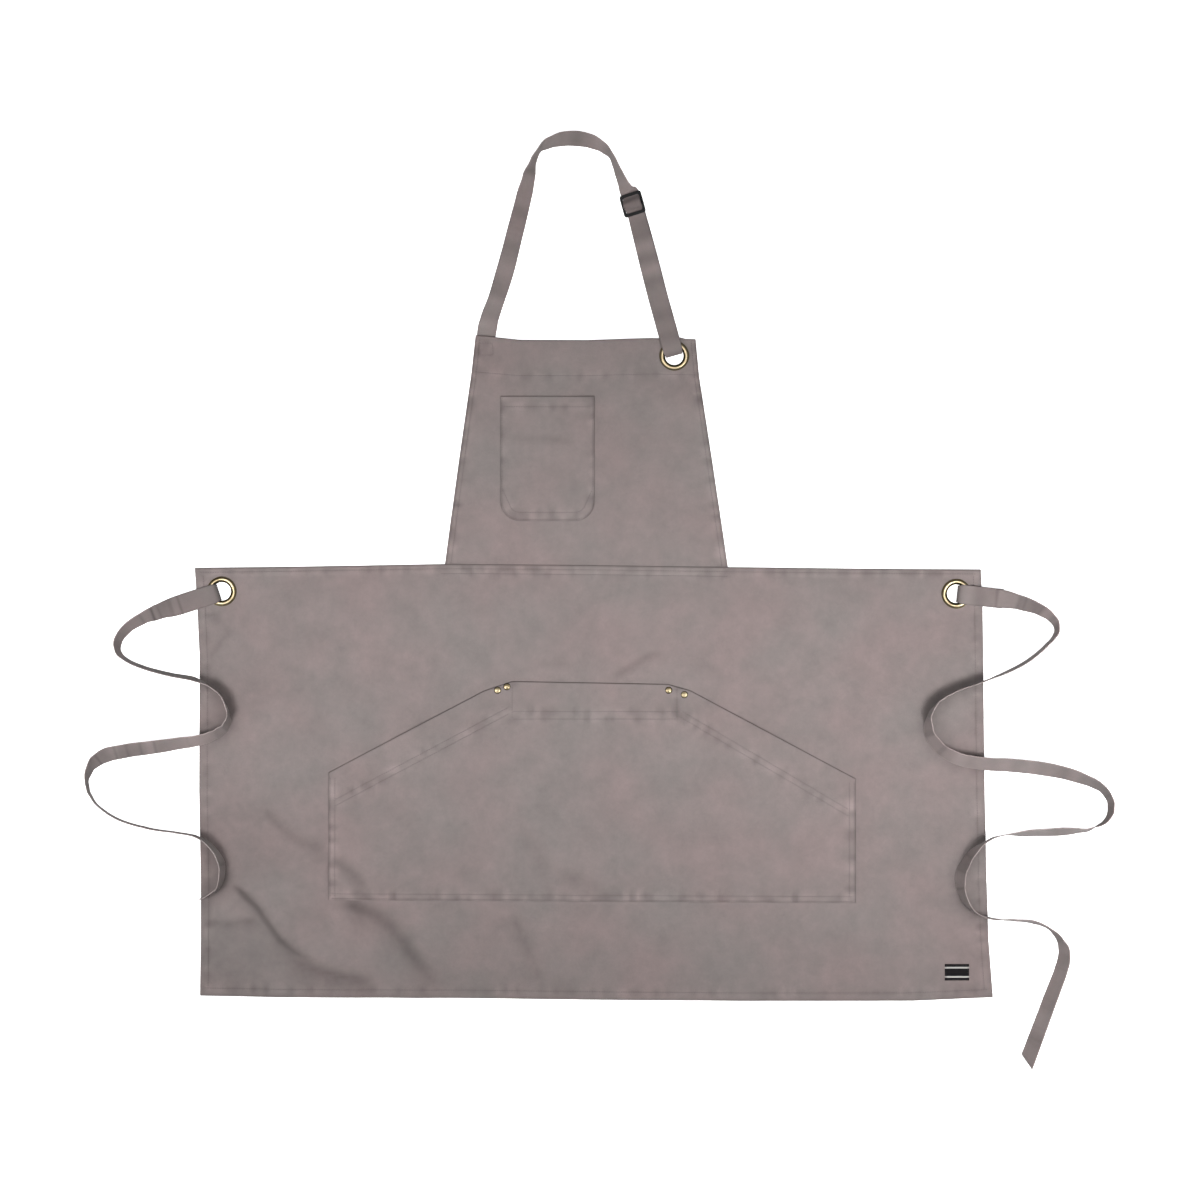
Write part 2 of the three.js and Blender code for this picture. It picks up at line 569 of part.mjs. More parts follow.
// A tape swept along its route with a flat section; skew slants the cut at its far end
function tape(rows, skew) {
  const curve = new THREE.CatmullRomCurve3(
    rows.map((row) => new THREE.Vector3(row.x, row.y, row.rest)),
    false,
    'centripetal',
  );
  const stations = tapeStations(rows, curve);
  const positions = [];
  const index = [];
  const side = new THREE.Vector3();
  const across = new THREE.Vector3();
  stations.forEach((station, i) => {
    const before = stations[Math.max(0, i - 1)].point;
    const after = stations[Math.min(stations.length - 1, i + 1)].point;
    const tangent = after.clone().sub(before).normalize();
    const level = new THREE.Vector3(0, 0, 1).cross(tangent);
    if (level.length() > STEEP) {
      side.copy(level).normalize();
    }
    const rolled = side.clone().multiplyScalar(Math.cos(station.roll));
    rolled.addScaledVector(tangent.clone().cross(side), Math.sin(station.roll));
    const wanted = (station.across ?? rolled).clone();
    wanted.addScaledVector(tangent, -wanted.dot(tangent)).normalize();
    across.copy(wanted.dot(across) < 0 ? wanted.negate() : wanted);
    const face = tangent.clone().cross(across);
    const slant = i === stations.length - 1 ? skew / station.wide : 0;
    for (const [a, b] of [[-0.5, -0.5], [0.5, -0.5], [0.5, 0.5], [-0.5, 0.5]]) {
      const corner = station.point.clone();
      corner.addScaledVector(across, a * station.wide);
      corner.addScaledVector(face, b * TAPE_THICK);
      corner.addScaledVector(tangent, a * station.wide * slant);
      positions.push(corner.x, corner.y, corner.z);
    }
  });
  const height = (corner) => positions[3 * corner + 2];
  for (let i = 0; i < stations.length - 1; i += 1) {
    // Both faces of a twisted stretch are split along its higher diagonal, so that they stay apart
    const first = 4 * i;
    const rising = height(first) + height(first + 5) > height(first + 1) + height(first + 4);
    const forward = [rising, true, !rising, true];
    for (let k = 0; k < 4; k += 1) {
      const a = first + k;
      const b = first + ((k + 1) % 4);
      if (forward[k]) {
        index.push(a, b, b + 4, a, b + 4, a + 4);
      } else {
        index.push(a, b, a + 4, b, b + 4, a + 4);
      }
    }
  }
  const last = 4 * (stations.length - 1);
  index.push(0, 2, 1, 0, 3, 2, last, last + 1, last + 2, last, last + 2, last + 3);
  return indexed(positions, index);
}

// Places along the route, close together only where the tape bends or rolls
function tapeStations(rows, curve) {
  const stretches = rows.length - 1;
  const total = stretches * STATION.samples;
  const sampleAt = (k) => {
    const from = rows[Math.min(Math.floor(k / STATION.samples), stretches - 1)];
    const to = rows[rows.indexOf(from) + 1];
    const share = k / STATION.samples - rows.indexOf(from);
    const eased = THREE.MathUtils.smoothstep(share, 0, 1);
    const roll = THREE.MathUtils.degToRad(THREE.MathUtils.lerp(from.roll, to.roll, eased));
    const wide = THREE.MathUtils.lerp(from.wide ?? TAPE_WIDE, to.wide ?? TAPE_WIDE, share);
    const across = from.across && to.across ? from.across.clone().lerp(to.across, eased) : null;
    const point = curve.getPoint(k / total);
    const heading = curve.getTangent(k / total);
    const half = (wide / 2) * Math.abs(Math.sin(roll)) + (TAPE_THICK / 2) * Math.abs(Math.cos(roll));
    point.z = Math.max(0, point.z) + half;
    return { point, heading, roll, wide, across };
  };
  const kept = [sampleAt(0)];
  for (let k = 1; k < total; k += 1) {
    const sample = sampleAt(k);
    const last = kept[kept.length - 1];
    const turned = sample.heading.angleTo(last.heading);
    const rolled = THREE.MathUtils.radToDeg(Math.abs(sample.roll - last.roll));
    const far = sample.point.distanceTo(last.point) > STATION.length;
    const shared = k % STATION.samples === 0 && rows[k / STATION.samples].keep;
    if (shared || far || turned > STATION.bend || rolled > STATION.roll) {
      kept.push(sample);
    }
  }
  kept.push(sampleAt(total));
  return kept;
}

function neckStrap() {
  const last = OVER_LEG[OVER_LEG.length - 1].at;
  const downs = [];
  for (let i = 0; i <= LEG_STEPS; i += 1) {
    downs.push(THREE.MathUtils.lerp(OVER_LEG[0].at, last, i / LEG_STEPS));
  }
  const over = downs.map((down) => ({ down, rest: along(OVER_LEG, 'rest', down), keep: true }));
  const under = downs.map((down) => ({ down, rest: 0, keep: true })).reverse();
  const front = [...NECK_LEFT_LEG, ...[...OVER_SLIDER, ...over].map(onLeg)];
  const behind = [...under, BEHIND_SLIDER, ...roundMiddleBar()].map(onLeg);
  return tape([...front, ...throughEyelet(NECK, NECK_GRIP), ...behind], 0);
}

// A waist tie: sewn end under the cloth, up through the eyelet and out along its route
function waistTie(eye, sewnEnd, route, skew) {
  const up = throughEyelet(eye, WAIST_GRIP).reverse();
  const under = { x: eye.x + sewnEnd * eye.outX, y: eye.y + sewnEnd * eye.outY, rest: 0, roll: 0 };
  return tape([under, ...up, ...route], skew);
}

function lathe(profile, sides) {
  const geometry = new THREE.LatheGeometry(profile.map(([r, z]) => new THREE.Vector2(r, z)), sides);
  geometry.rotateX(Math.PI / 2);
  return geometry;
}

// One eyelet: domed front flange, barrel and flat back flange, standing at the cloth's underside
function eyelet(grip) {
  const { bore, barrel, front, back, flange, dome, sides } = EYELET;
  const bottom = -GAP - flange;
  const face = grip + GAP;
  const profile = [
    [bore + barrel, face],
    [front, face],
    [front, face + 0.25 * dome],
    [front - 1.2, face + 0.75 * dome],
    [bore + 2.8, face + dome],
    [bore + 1.2, face + 0.85 * dome],
    [bore, face + 0.3 * dome],
    [bore, bottom],
    [back, bottom],
    [back, -GAP],
    [bore + barrel, -GAP],
    [bore + barrel, face],
  ];
  return lathe(profile, sides);
}

// One rivet, standing on the floor: burr, stem and domed cap
function rivet() {
  const { cap, dome, stem, burr, burrThick, sides } = RIVET;
  const seat = RIVET_LIFT + CLOTH + GAP + POCKET_WALL + GAP;
  const profile = [
    [0, 0],
    [burr, 0],
    [burr, burrThick],
    [stem, burrThick],
    [stem, seat],
    [cap, seat],
    [cap, seat + 0.35 * dome],
    [0.72 * cap, seat + 0.85 * dome],
    [0, seat + dome],
  ];
  return lathe(profile, sides);
}

function roundedRectangle(path, halfWide, halfHigh, corner) {
  path.moveTo(-halfWide + corner, -halfHigh);
  path.lineTo(halfWide - corner, -halfHigh);
  path.absarc(halfWide - corner, -halfHigh + corner, corner, -Math.PI / 2, 0, false);
  path.absarc(halfWide - corner, halfHigh - corner, corner, 0, Math.PI / 2, false);
  path.absarc(-halfWide + corner, halfHigh - corner, corner, Math.PI / 2, Math.PI, false);
  path.absarc(-halfWide + corner, -halfHigh + corner, corner, Math.PI, 1.5 * Math.PI, false);
  return path;
}

function slider() {
  const { across, bar, slot, thick, corner } = SLIDER;
  const outline = roundedRectangle(new THREE.Shape(), across / 2, SLIDER_LONG / 2, corner);
  const halfSlot = TAPE_WIDE / 2 + GAP;
  for (const sign of [-1, 1]) {
    const near = sign * (bar / 2);
    const far = sign * (bar / 2 + slot);
    const hole = new THREE.Path();
    hole.moveTo(-halfSlot, near);
    hole.lineTo(halfSlot, near);
    hole.lineTo(halfSlot, far);
    hole.lineTo(-halfSlot, far);
    hole.closePath();
    outline.holes.push(hole);
  }
  const frame = new THREE.ExtrudeGeometry(outline, { depth: thick, bevelEnabled: false, curveSegments: 4 });
  frame.translate(0, 0, -thick / 2);
  return frame.applyMatrix4(sliderPlace());
}

// The slider lies square to the leg and rolled with it
function sliderPlace() {
  const turn = THREE.MathUtils.degToRad(along(LEG_ROLLS, 'roll', 0));
  const across = LEG_SIDE.clone().multiplyScalar(Math.cos(turn)).setZ(Math.sin(turn));
  const back = LEG.clone().negate();
  const height = (TAPE_WIDE / 2) * Math.sin(turn) + SLIDER_MIDDLE * Math.cos(turn);
  const place = new THREE.Matrix4().makeBasis(across, back, across.clone().cross(back));
  return place.setPosition(SLIDER.x, SLIDER.y, height);
}

function label() {
  const outline = roundedRectangle(new THREE.Shape(), LABEL.wide / 2, LABEL.high / 2, LABEL.corner);
  return new THREE.ExtrudeGeometry(outline, { depth: LABEL.thick, bevelEnabled: false, curveSegments: 3 });
}

const apron = new THREE.Group();

function piece(name, geometry, look, x = 0, y = 0, z = 0) {
  const mesh = new THREE.Mesh(geometry, look);
  mesh.name = name;
  mesh.position.set(x, y, z);
  apron.add(mesh);
}

// Canvas
piece('skirt_panel', skirtPanel(), canvasMaterial());
piece('bib_panel', bibPanel(), canvasMaterial());
piece('front_pocket', frontPocket(), canvasMaterial());
piece('chest_pocket', chestPocket(), canvasMaterial());

// Tapes
const SEWN_END = 60; // from the middle of a waist eyelet to the sewn end of its tie
piece('neck_strap', neckStrap(), tapeMaterial());
piece('waist_tie_left', waistTie(WAIST_LEFT, SEWN_END, TIE_LEFT, 0), tapeMaterial());
piece('waist_tie_right', waistTie(WAIST_RIGHT, SEWN_END, TIE_RIGHT, END_SKEW), tapeMaterial());

// Metal and plastic
piece('neck_eyelet', eyelet(NECK_GRIP), brassMaterial(), NECK.x, NECK.y, EYELET_LIFT);
piece('waist_eyelet_left', eyelet(WAIST_GRIP), brassMaterial(), WAIST_LEFT.x, WAIST_LEFT.y, EYELET_LIFT);
piece('waist_eyelet_right', eyelet(WAIST_GRIP), brassMaterial(), WAIST_RIGHT.x, WAIST_RIGHT.y, EYELET_LIFT);
for (const place of RIVETS) {
  piece(place.name, rivet(), brassMaterial(), place.x, place.y, 0);
}
piece('strap_slider', slider(), plasticMaterial());

// Label
piece('woven_label', label(), labelMaterial(), LABEL.x, LABEL.y, CLOTH + GAP);

export default apron;
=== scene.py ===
"""Looks of the bib apron: sewn canvas, twill tapes, brass, plastic and a woven label on a pale floor."""
import math

import bpy
import numpy as np
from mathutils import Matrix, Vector
from mathutils.bvhtree import BVHTree


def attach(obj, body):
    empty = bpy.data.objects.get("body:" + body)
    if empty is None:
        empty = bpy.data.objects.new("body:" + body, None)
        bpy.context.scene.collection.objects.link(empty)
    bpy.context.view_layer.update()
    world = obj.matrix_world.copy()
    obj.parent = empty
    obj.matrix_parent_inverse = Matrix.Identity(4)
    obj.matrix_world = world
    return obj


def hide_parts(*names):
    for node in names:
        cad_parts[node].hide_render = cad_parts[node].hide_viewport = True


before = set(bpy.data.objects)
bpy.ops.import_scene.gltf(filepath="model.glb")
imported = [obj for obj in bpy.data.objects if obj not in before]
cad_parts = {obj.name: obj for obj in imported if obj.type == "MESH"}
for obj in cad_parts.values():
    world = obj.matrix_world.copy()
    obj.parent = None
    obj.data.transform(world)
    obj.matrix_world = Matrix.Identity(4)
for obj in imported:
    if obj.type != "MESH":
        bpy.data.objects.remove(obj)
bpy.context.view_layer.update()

# Sizes are in millimetres, in the frame of the part
MM = 0.001
TINY = 1e-6
BODY = "root"

# Cloth and tape
CLOTH = 1.2
HEM_RISE = 0.45  # how far a turned edge stands over the single cloth
HEM_SLOPE = 4.0  # run over which it falls back to single cloth
POCKET_WALL = 1.6
FACING_RISE = 0.35
GAP = 0.3
EDGE_ROUND = 1.5
TAPE_WIDE = 25.0
TAPE_GATHERED = 21.0
TAPE_THICK = 1.2
END_SKEW = -13.0
CUT_RUN = 30.0  # stretch of a tape over which its stations turn to the slanted cut

# Brass and plastic
EYELET = {"bore": 11.7, "barrel": 1.6, "throat": 13.3, "crest": 17.5, "lip": 19.1, "back": 17.5,
          "flange": 0.8, "dome": 1.7, "sides": 96, "lip_high": 0.25, "shoulder": 0.45, "arc": (12, 155),
          "arc_steps": 22, "chamfer": 0.4, "chamfer_steps": 7, "throat_drop": 0.3, "throat_low": 1.0}
HEM = 1.2
WAIST_GRIP = CLOTH
NECK_GRIP = CLOTH + HEM
EYELET_LIFT = TAPE_THICK + EYELET["flange"] + 2 * GAP
# Rivet sizes; the rim entry gives the width of painted shade round the edge of the cap
RIVET = {"cap": 4.6, "dome": 1.7, "stem": 1.6, "burr": 4.0, "burr_thick": 0.8, "sides": 48, "brim": 0.8,
         "dimple": 0.9, "painted_shade_rim": 0.9, "steps": 9}
RIVET_LIFT = RIVET["burr_thick"] + GAP
SLIDER = {"x": 41.5, "y": 504.0, "across": 32.0, "bar": 4.0, "slot": 8.4, "thick": 2.0, "underside": 3.6,
          "corner": 3.4, "slot_corner": 3.2, "round": 0.55, "round_steps": 3}
SLIDER_MIDDLE = SLIDER["underside"] + SLIDER["thick"] / 2
SLIDER_LONG = 3 * SLIDER["bar"] + 2 * SLIDER["slot"]
STRAP_LEAN = math.radians(15.4)
LEG = np.array([math.sin(STRAP_LEAN), -math.cos(STRAP_LEAN), 0.0])
LEG_SIDE = np.array([math.cos(STRAP_LEAN), math.sin(STRAP_LEAN), 0.0])
UP = np.array([0.0, 0.0, 1.0])
WRAP_RADIUS, WRAP_STEPS = 2.8, 7

LABEL = {"x": 455.0, "y": -474.5, "wide": 31.0, "high": 21.0, "thick": 0.8, "inset": 1.4, "edge": 0.08,
         "relief": 0.6}

NECK_DOWN = 200.0
WAIST_LEFT = {"x": -482.0, "y": 11.0, "out": (-0.952, -0.306), "fold": 4.0}
WAIST_RIGHT = {"x": 454.0, "y": 8.0, "out": (0.994, -0.11), "fold": 1.5}
NECK = {"x": SLIDER["x"] + NECK_DOWN * LEG[0], "y": SLIDER["y"] + NECK_DOWN * LEG[1],
        "out": (-LEG[0], -LEG[1]), "fold": 0.6}
RIVETS = {
    "pocket_rivet_left_outer": (-130.5, -115.0),
    "pocket_rivet_left_inner": (-118.5, -110.5),
    "pocket_rivet_right_inner": (87.5, -115.0),
    "pocket_rivet_right_outer": (107.5, -120.5),
}
EYELETS = {
    "neck_eyelet": (NECK, NECK_GRIP),
    "waist_eyelet_left": (WAIST_LEFT, WAIST_GRIP),
    "waist_eyelet_right": (WAIST_RIGHT, WAIST_GRIP),
}
WAIST_EYES = [(eye["x"], eye["y"]) for eye in (WAIST_LEFT, WAIST_RIGHT)]
NECK_EYE = [(NECK["x"], NECK["y"])]

# Edges and holes of a panel
EDGE_WALL, POCKET_EDGE = 0.15, 0.1  # thickness left at the very edge of a panel and of a pocket
EDGE_LIFT = 0.2  # how far the underside comes up at a rounded edge
POCKET_SEAT = CLOTH + GAP + EDGE_WALL  # height of a pocket's underside over that of its panel
TOP_SOFT = 2.2  # how many times softer the skirt's top edge is than its other edges
EYELET_HOLE = EYELET["bore"] + EYELET["barrel"] + 2 * GAP
HOLE_REACH = 26.0  # how far from its middle a hole draws in the grid
HOLE_CUT = 0.7  # share of its radius within which cells go
HOLE_SQUEEZE = 0.2  # share of its reach that no point counts as nearer than


def table(columns, *rows):
    """A short table as one array for each named column."""
    return dict(zip(columns.split(), np.array(rows, float).T))


# Panel outlines: sides by share of the height, ends by share of the width
SKIRT = {"wide": 1004.0, "high": 550.0, "side_hem": 12.0, "bottom_hem": 12.0, "top_hem": 10.0}
SKIRT_SIDES = table(
    "at low high",
    (0, -510, 501), (0.13, -509, 495.5), (0.27, -509, 493), (0.48, -511, 490.5), (0.8, -510.5, 488.5),
    (0.92, -513.5, 487.5), (1, -516.5, 485.5))
SKIRT_ENDS = table("at low high", (0, -504.5, 41), (0.1, -506.5, 42.2), (0.325, -507.2, 46),
                   (0.5, -509.5, 44.5), (0.68, -511, 42), (0.9, -511, 39.6), (1, -506.5, 39))
BIB = {"wide": 322.0, "high": 304.0, "side_hem": 8.0, "top_hem": 46.0}
BIB_SIDES = table("at low high", (0, -200, 165), (0.5, -179, 142.5), (0.84, -164, 126.5), (1, -158.5, 122))
BIB_ENDS = table("at low high", (0, 30, 337.5), (0.07, 30, 335.5), (0.2, 30, 331.5), (0.5, 30, 331.3),
                 (0.8, 30, 334), (1, 30, 332.5))
FRONT_POCKET_ENDS = table(
    "at low high",
    (-346, -382.5, -219.5), (-148, -383.5, -115.5), (-112, -383.8, -103.3), (87, -385, -107),
    (116, -385.2, -115.5), (326, -386.3, -227.5))
CHEST_POCKET = {"left": -127.0, "right": -7.0, "bottom": 100.5, "top": 260.0, "corner": 25.0, "hem": 14.0}

# Places where a panel lies higher than the floor
SKIRT_LIFTS = table("x y half_x half_y fade height",
                    (WAIST_LEFT["x"], WAIST_LEFT["y"], 50, 50, 50, EYELET_LIFT),
                    (WAIST_RIGHT["x"], WAIST_RIGHT["y"], 50, 50, 50, EYELET_LIFT),
                    (-17.5, 44, 222, 42, 70, CLOTH + 0.2),
                    (-197, 44, 12, 42, 36, CLOTH + HEM_RISE + 2 * GAP),
                    (162, 44, 12, 42, 36, CLOTH + HEM_RISE + 2 * GAP),
                    (-124.5, -113, 42, 42, 110, RIVET_LIFT),
                    (97.5, -118, 42, 42, 110, RIVET_LIFT))
BIB_LIFTS = table("x y half_x half_y fade height",
                  (NECK["x"], NECK["y"], 50, 50, 60, EYELET_LIFT),
                  (-146, 320, 46, 40, 60, TAPE_THICK + GAP))
FRONT_FLAT, FRONT_SLANT = (-112, 87), 0.87  # level stretch of the front mouth, and cosine of its slants
FACING_DEEP, FACING_SLOPE = 44.0, 8.0  # depth of the facing behind that mouth, and the run over which it ends

# Creases: a ridge along a path, falling gently to its right and steeply to its left; 'dark' and 'line' give
# the painted shade in its fold
SKIRT_CREASES = [
    {"path": [(-473, -360), (-456, -373), (-436, -393), (-422, -414), (-407, -434), (-389, -449),
              (-364, -461), (-341, -470)], "height": 6.5, "steep": 10, "gentle": 60, "dark": 0.31,
     "fade": (0.12, 0.45)},
    {"path": [(-350, -392), (-315, -389), (-285, -401), (-264, -419), (-248, -440), (-233, -460),
              (-217, -481), (-198, -496)], "height": 8.0, "steep": 22, "gentle": 50, "dark": 0.27,
     "line": 0.25},
    {"path": [(-112, -396), (-98, -434), (-85, -460), (-72, -496)], "height": 5.2, "steep": 20, "gentle": 40,
     "dark": 0.18},
    {"path": [(-432, -262), (-415, -281), (-400, -296), (-377, -311), (-348, -315)], "height": 5.0,
     "steep": 17, "gentle": 32, "dark": 0.14},
    {"path": [(12, -100), (38, -86), (55, -75), (84, -65)], "height": 3.6, "steep": 9, "gentle": 28,
     "dark": 0.1},
    {"path": [(-108, -93), (-70, -79), (-30, -84)], "height": 1.6, "steep": 9, "gentle": 14, "dark": 0.06},
    {"path": [(-508, -410), (-470, -413), (-432, -407)], "height": 1.8, "steep": 11, "gentle": 20,
     "dark": 0.22, "line": 0.1},
    {"path": [(-468, -36), (-482, -52), (-500, -76)], "height": 1.3, "steep": 8, "gentle": 18, "dark": 0.19},
    {"path": [(-506, -21), (-494, -18), (-483, -18)], "height": 0.5, "steep": 4, "gentle": 8, "dark": 0.2},
    {"path": [(-507, -29), (-492, -26), (-480, -25)], "height": 0.5, "steep": 4, "gentle": 8, "dark": 0.17},
    {"path": [(433, -51), (452, -62), (474, -76)], "height": 1.2, "steep": 9, "gentle": 20, "dark": 0.1},
    {"path": [(-402, -455), (-375, -468), (-347, -476), (-315, -483), (-284, -487)], "height": 2.4,
     "steep": 18, "gentle": 34, "dark": 0.34, "line": 0.1},
]
SKIRT_SHADES = table("x y half most", (-470, -470, 105, 0.09))  # round patches of painted shade, where the cloth is darker
FRONT_POCKET_CREASES = [
    {"path": [(-344, -326), (-338, -331), (-320, -345), (-310, -355), (-298, -368)], "height": 4.4,
     "steep": 17, "gentle": 26, "dark": 0.12},
    {"path": [(-60, -348), (-25, -358), (8, -367)], "height": 3.0, "steep": 14, "gentle": 26, "dark": 0.12},
    {"path": [(-108, -281), (-84, -315), (-62, -350)], "height": 2.2, "steep": 15, "gentle": 28,
     "dark": 0.08},
]
CHEST_POCKET_CREASES = [
    {"path": [(-120, 203), (-70, 206), (-26, 200)], "height": 1.6, "steep": 11, "gentle": 26, "dark": 0.08},
]
CREASE_FADE = (0.2, 0.2)  # shares of a crease's length over which its start and its end die away
CREASE_UNEVEN, CREASE_SIZE = 0.35, 34.0  # share by which a crease comes and goes, and over what length
CREASE_SEED = 23
CREASE_PAINTED_LIGHT, CREASE_PAST = 0.25, 1.3  # painted light past a fold: its share of the painted shade, and place by the flank
CREASE_LINE, CREASE_THIN = 0.55, 3.6  # share of the painted shade that is a thin line in the fold, and its half width

# Places where a pocket stands off its panel: a round rise about a point
FRONT_POCKET_GAPES = table("x y half most", (-243, -166, 78, 2.2), (217, -170, 78, 2.2))
CHEST_POCKET_GAPES = table("x y half most", (-16, 255, 22, 1.2))

# Slow wrinkles of laid cloth: size across, stretch along, turn in degrees, height and seed
WRINKLES = table("size stretch turn height seed", (95, 2.0, -48, 2.6, 11), (46, 1.8, 24, 2.0, 12),
                 (21, 1.5, -62, 0.9, 13))

# Painted shade along the cloth's edges and round the pockets, and painted light where the strap is sewn in
HEM_PAINTED_SHADE, HEM_SHADE_REACH = 0.22, 1.6  # painted shade: share by which a turned edge is darker, and how far in
STRAP_JOINT, JOINT_PAINTED_LIGHT = (-145.5, 336.0), 0.3  # where the strap is sewn in, and the painted light that makes the edge paler there
RIM_PAINTED_SHADE, CHEST_RIM_PAINTED_SHADE, RIM_SHADE_REACH = 0.55, 0.36, 1.1  # share and reach of the painted shade round the edge of each pocket
SEWN_LOW, SAME = 0.4, 0.01  # share of that line left at the bottom, and how nearly distances agree

# Calm cloth: radii about a place within which it lies still and beyond which it is free
CALM = {"eyelet": (30, 70), "rivet": (8, 40), "label": (20, 50), "eyelet_seam": (19, 24),
        "rivet_seam": (5, 9), "joint": (11, 20)}
WAIST_TOP, WAIST_CALM = 40.0, 60.0  # height of the waist seam, and the run below it that is calmer
BIB_LOW, BIB_CALM = 55.0, 40.0  # where the bib begins to be free above the waist, and over what run
CALM_SIDES = table("at share", (-520, 0.15), (-465, 0.15), (-400, 1), (340, 1), (410, 0.15), (510, 0.15))

# Grid lines of each panel: where a stretch ends, if below 0 or at 0 from the far edge, and the step in it
SKIRT_ACROSS = table("end step", (2, 0.7), (16, 1.75), (32, 5), (132, 2.4), (-16, 5), (-2, 1.75), (0, 0.7))
SKIRT_UP = table("end step", (2, 0.7), (16, 1.75), (52, 5), (150, 2.4), (-16, 5), (-2, 1.75), (0, 0.7))
BIB_ACROSS = table("end step", (2, 0.7), (11, 1.5), (-11, 4), (-2, 1.5), (0, 0.7))
BIB_UP = table("end step", (-52, 4.5), (-40, 1.5), (-6, 4), (-2, 1.5), (0, 0.7))
FRONT_ACROSS = table("end step", (2, 0.7), (12, 1.6), (-12, 4.5), (-2, 1.6), (0, 0.7))
FRONT_DOWN = table("end step", (2, 0.7), (64, 1.9))
FRONT_UP = table("end step", (2, 0.7), (12, 1.6))
FRONT_ROWS = 24
CHEST_ACROSS = table("end step", (1, 0.25), (4, 0.6), (25, 1.6), (-25, 3.5), (-4, 1.6), (-1, 0.6), (0, 0.25))
CHEST_UP = table("end step", (0.012, 0.004), (0.13, 0.01), (0.94, 0.026), (0.988, 0.012), (1, 0.004))
LABEL_LINES = table("end step", (1, 0.5), (-1, 1.2), (0, 0.5))

# Lines of stitching: insets from the edges, and the shares of a panel's width or height that they run over
SKIRT_SEAMS = {"edge": 10.2, "top": 6.0, "waist": 12.0}
SKIRT_RUNS = {"up": (0.02, 0.985), "bottom": (0.005, 0.995), "top": (0.006, 0.994), "waist": (0.312, 0.678)}
BIB_INSETS, BIB_UP_RUN, BIB_HEM_RUN = (2.0, 7.0), (0.04, 0.99), (0.01, 0.99)
STRAP_BOX = [(-154, 312), (-136, 312), (-137, 327), (-155, 327), (-154, 312)]
POCKET_INSETS, POCKET_ENDS = (2.2, 8.2), 3.0
FRONT_SIDE_SEAMS = {"left": -225.0, "right": -232.0, "bottom": -380.0}
FRONT_SEAMS = table("x0 y0 x1 y1", (-112, -142.2, 98, -142.2), (-112, -151.7, 98, -151.7),
                    (-112, -107, -112, -151.7), (98, -113, 98, -151.7), (102, -149, 317, -275.5),
                    (104, -141.5, 317, -267), (-116, -145, -337, -262), (-118, -137.5, -337, -254))
CHEST_SEAMS = {"inset": 2.2, "top": 2.0, "steps": 10, "deep": 11.0, "deep_from": 0.2, "deep_top": 40.0,
               "deep_steps": 8}
CURVE_STEPS = {"side": 16, "hem": 24, "long": 40, "front": 30, "chest": 60}  # places along each curved line

# Tape routes: rest is the height below the lower edge, roll turns the tape about its length
NECK_LEFT_LEG = table(
    "x y rest roll",
    (-148, 306, 0, 0), (-146, 325, 0.1, 0), (-145, 336, 1.7, 0), (-143.8, 345, 1.8, 5),
    (-140.5, 359, 0.6, 26), (-132, 383, 0, 33), (-121.5, 417, 0, 27), (-109, 465, 0, 33),
    (-96.5, 515, 0, 40), (-91, 539, 0, 52), (-85, 558, 0, 74), (-78, 572, 0, 82), (-65, 582, 0, 62),
    (-47, 587, 0, 48), (-29, 587.5, 0, 44), (-11.5, 584, 0, 50), (4, 576, 0, 64), (14.5, 565, 0, 78),
    (20, 553, 0, 74), (24.9, 541, 0, 67), (29.2, 531, 0.1, 61), (31.8, 525.5, 0.2, 54),
    (34.6, 521, 0.4, 43))
NECK_SEWN_WIDE = (23.5, 23.5, 24.0, 24.5)  # width at the first places of the strap, where it is sewn in
STRAP_FREE = (60.0, 320.0)  # way along the strap between which it ripples
# A tape's dip through an eyelet: place outwards, share of the front's height, rise over that, and width
EYELET_DIP = table(
    "out share rise wide",
    (22, 1, 0, TAPE_WIDE), (6, 1, 0, 24.5), (3, 1, -0.1, 23.5), (1.2, 1, -0.5, 22),
    (0, 0.64, 0, TAPE_GATHERED), (0, 0.36, 0, TAPE_GATHERED), (1.2, 0, 0.4, TAPE_GATHERED),
    (3, 0, 0, TAPE_GATHERED), (6, 0, 0, TAPE_GATHERED), (22, 0, 0, TAPE_WIDE))
LEG_ROLLS = table("at roll", (17, 31), (60, 20), (120, 0), (NECK_DOWN, 0))
OVER_SLIDER = table(
    "down rest aside",
    (-14, 0.8, -0.8), (-9.4, 1.6, -0.3), (-6.6, 4.1, 0.2), (-4.4, 6.7, 1.2), (-2, 8.1, 1.6), (0, 8.3, 1.6),
    (2.2, 8.2, 1.6), (4.6, 6.6, 1.2), (6.7, 3.9, 0.3), (9.2, 2, 0), (12, 1.8, 0))
OVER_LEG = table("at rest", (17, 1.8), (60, 1.8), (120, 2.2), (155, 4), (168, 6))
BEHIND_SLIDER = (7.0, 0.1)
LEG_STEPS = 14
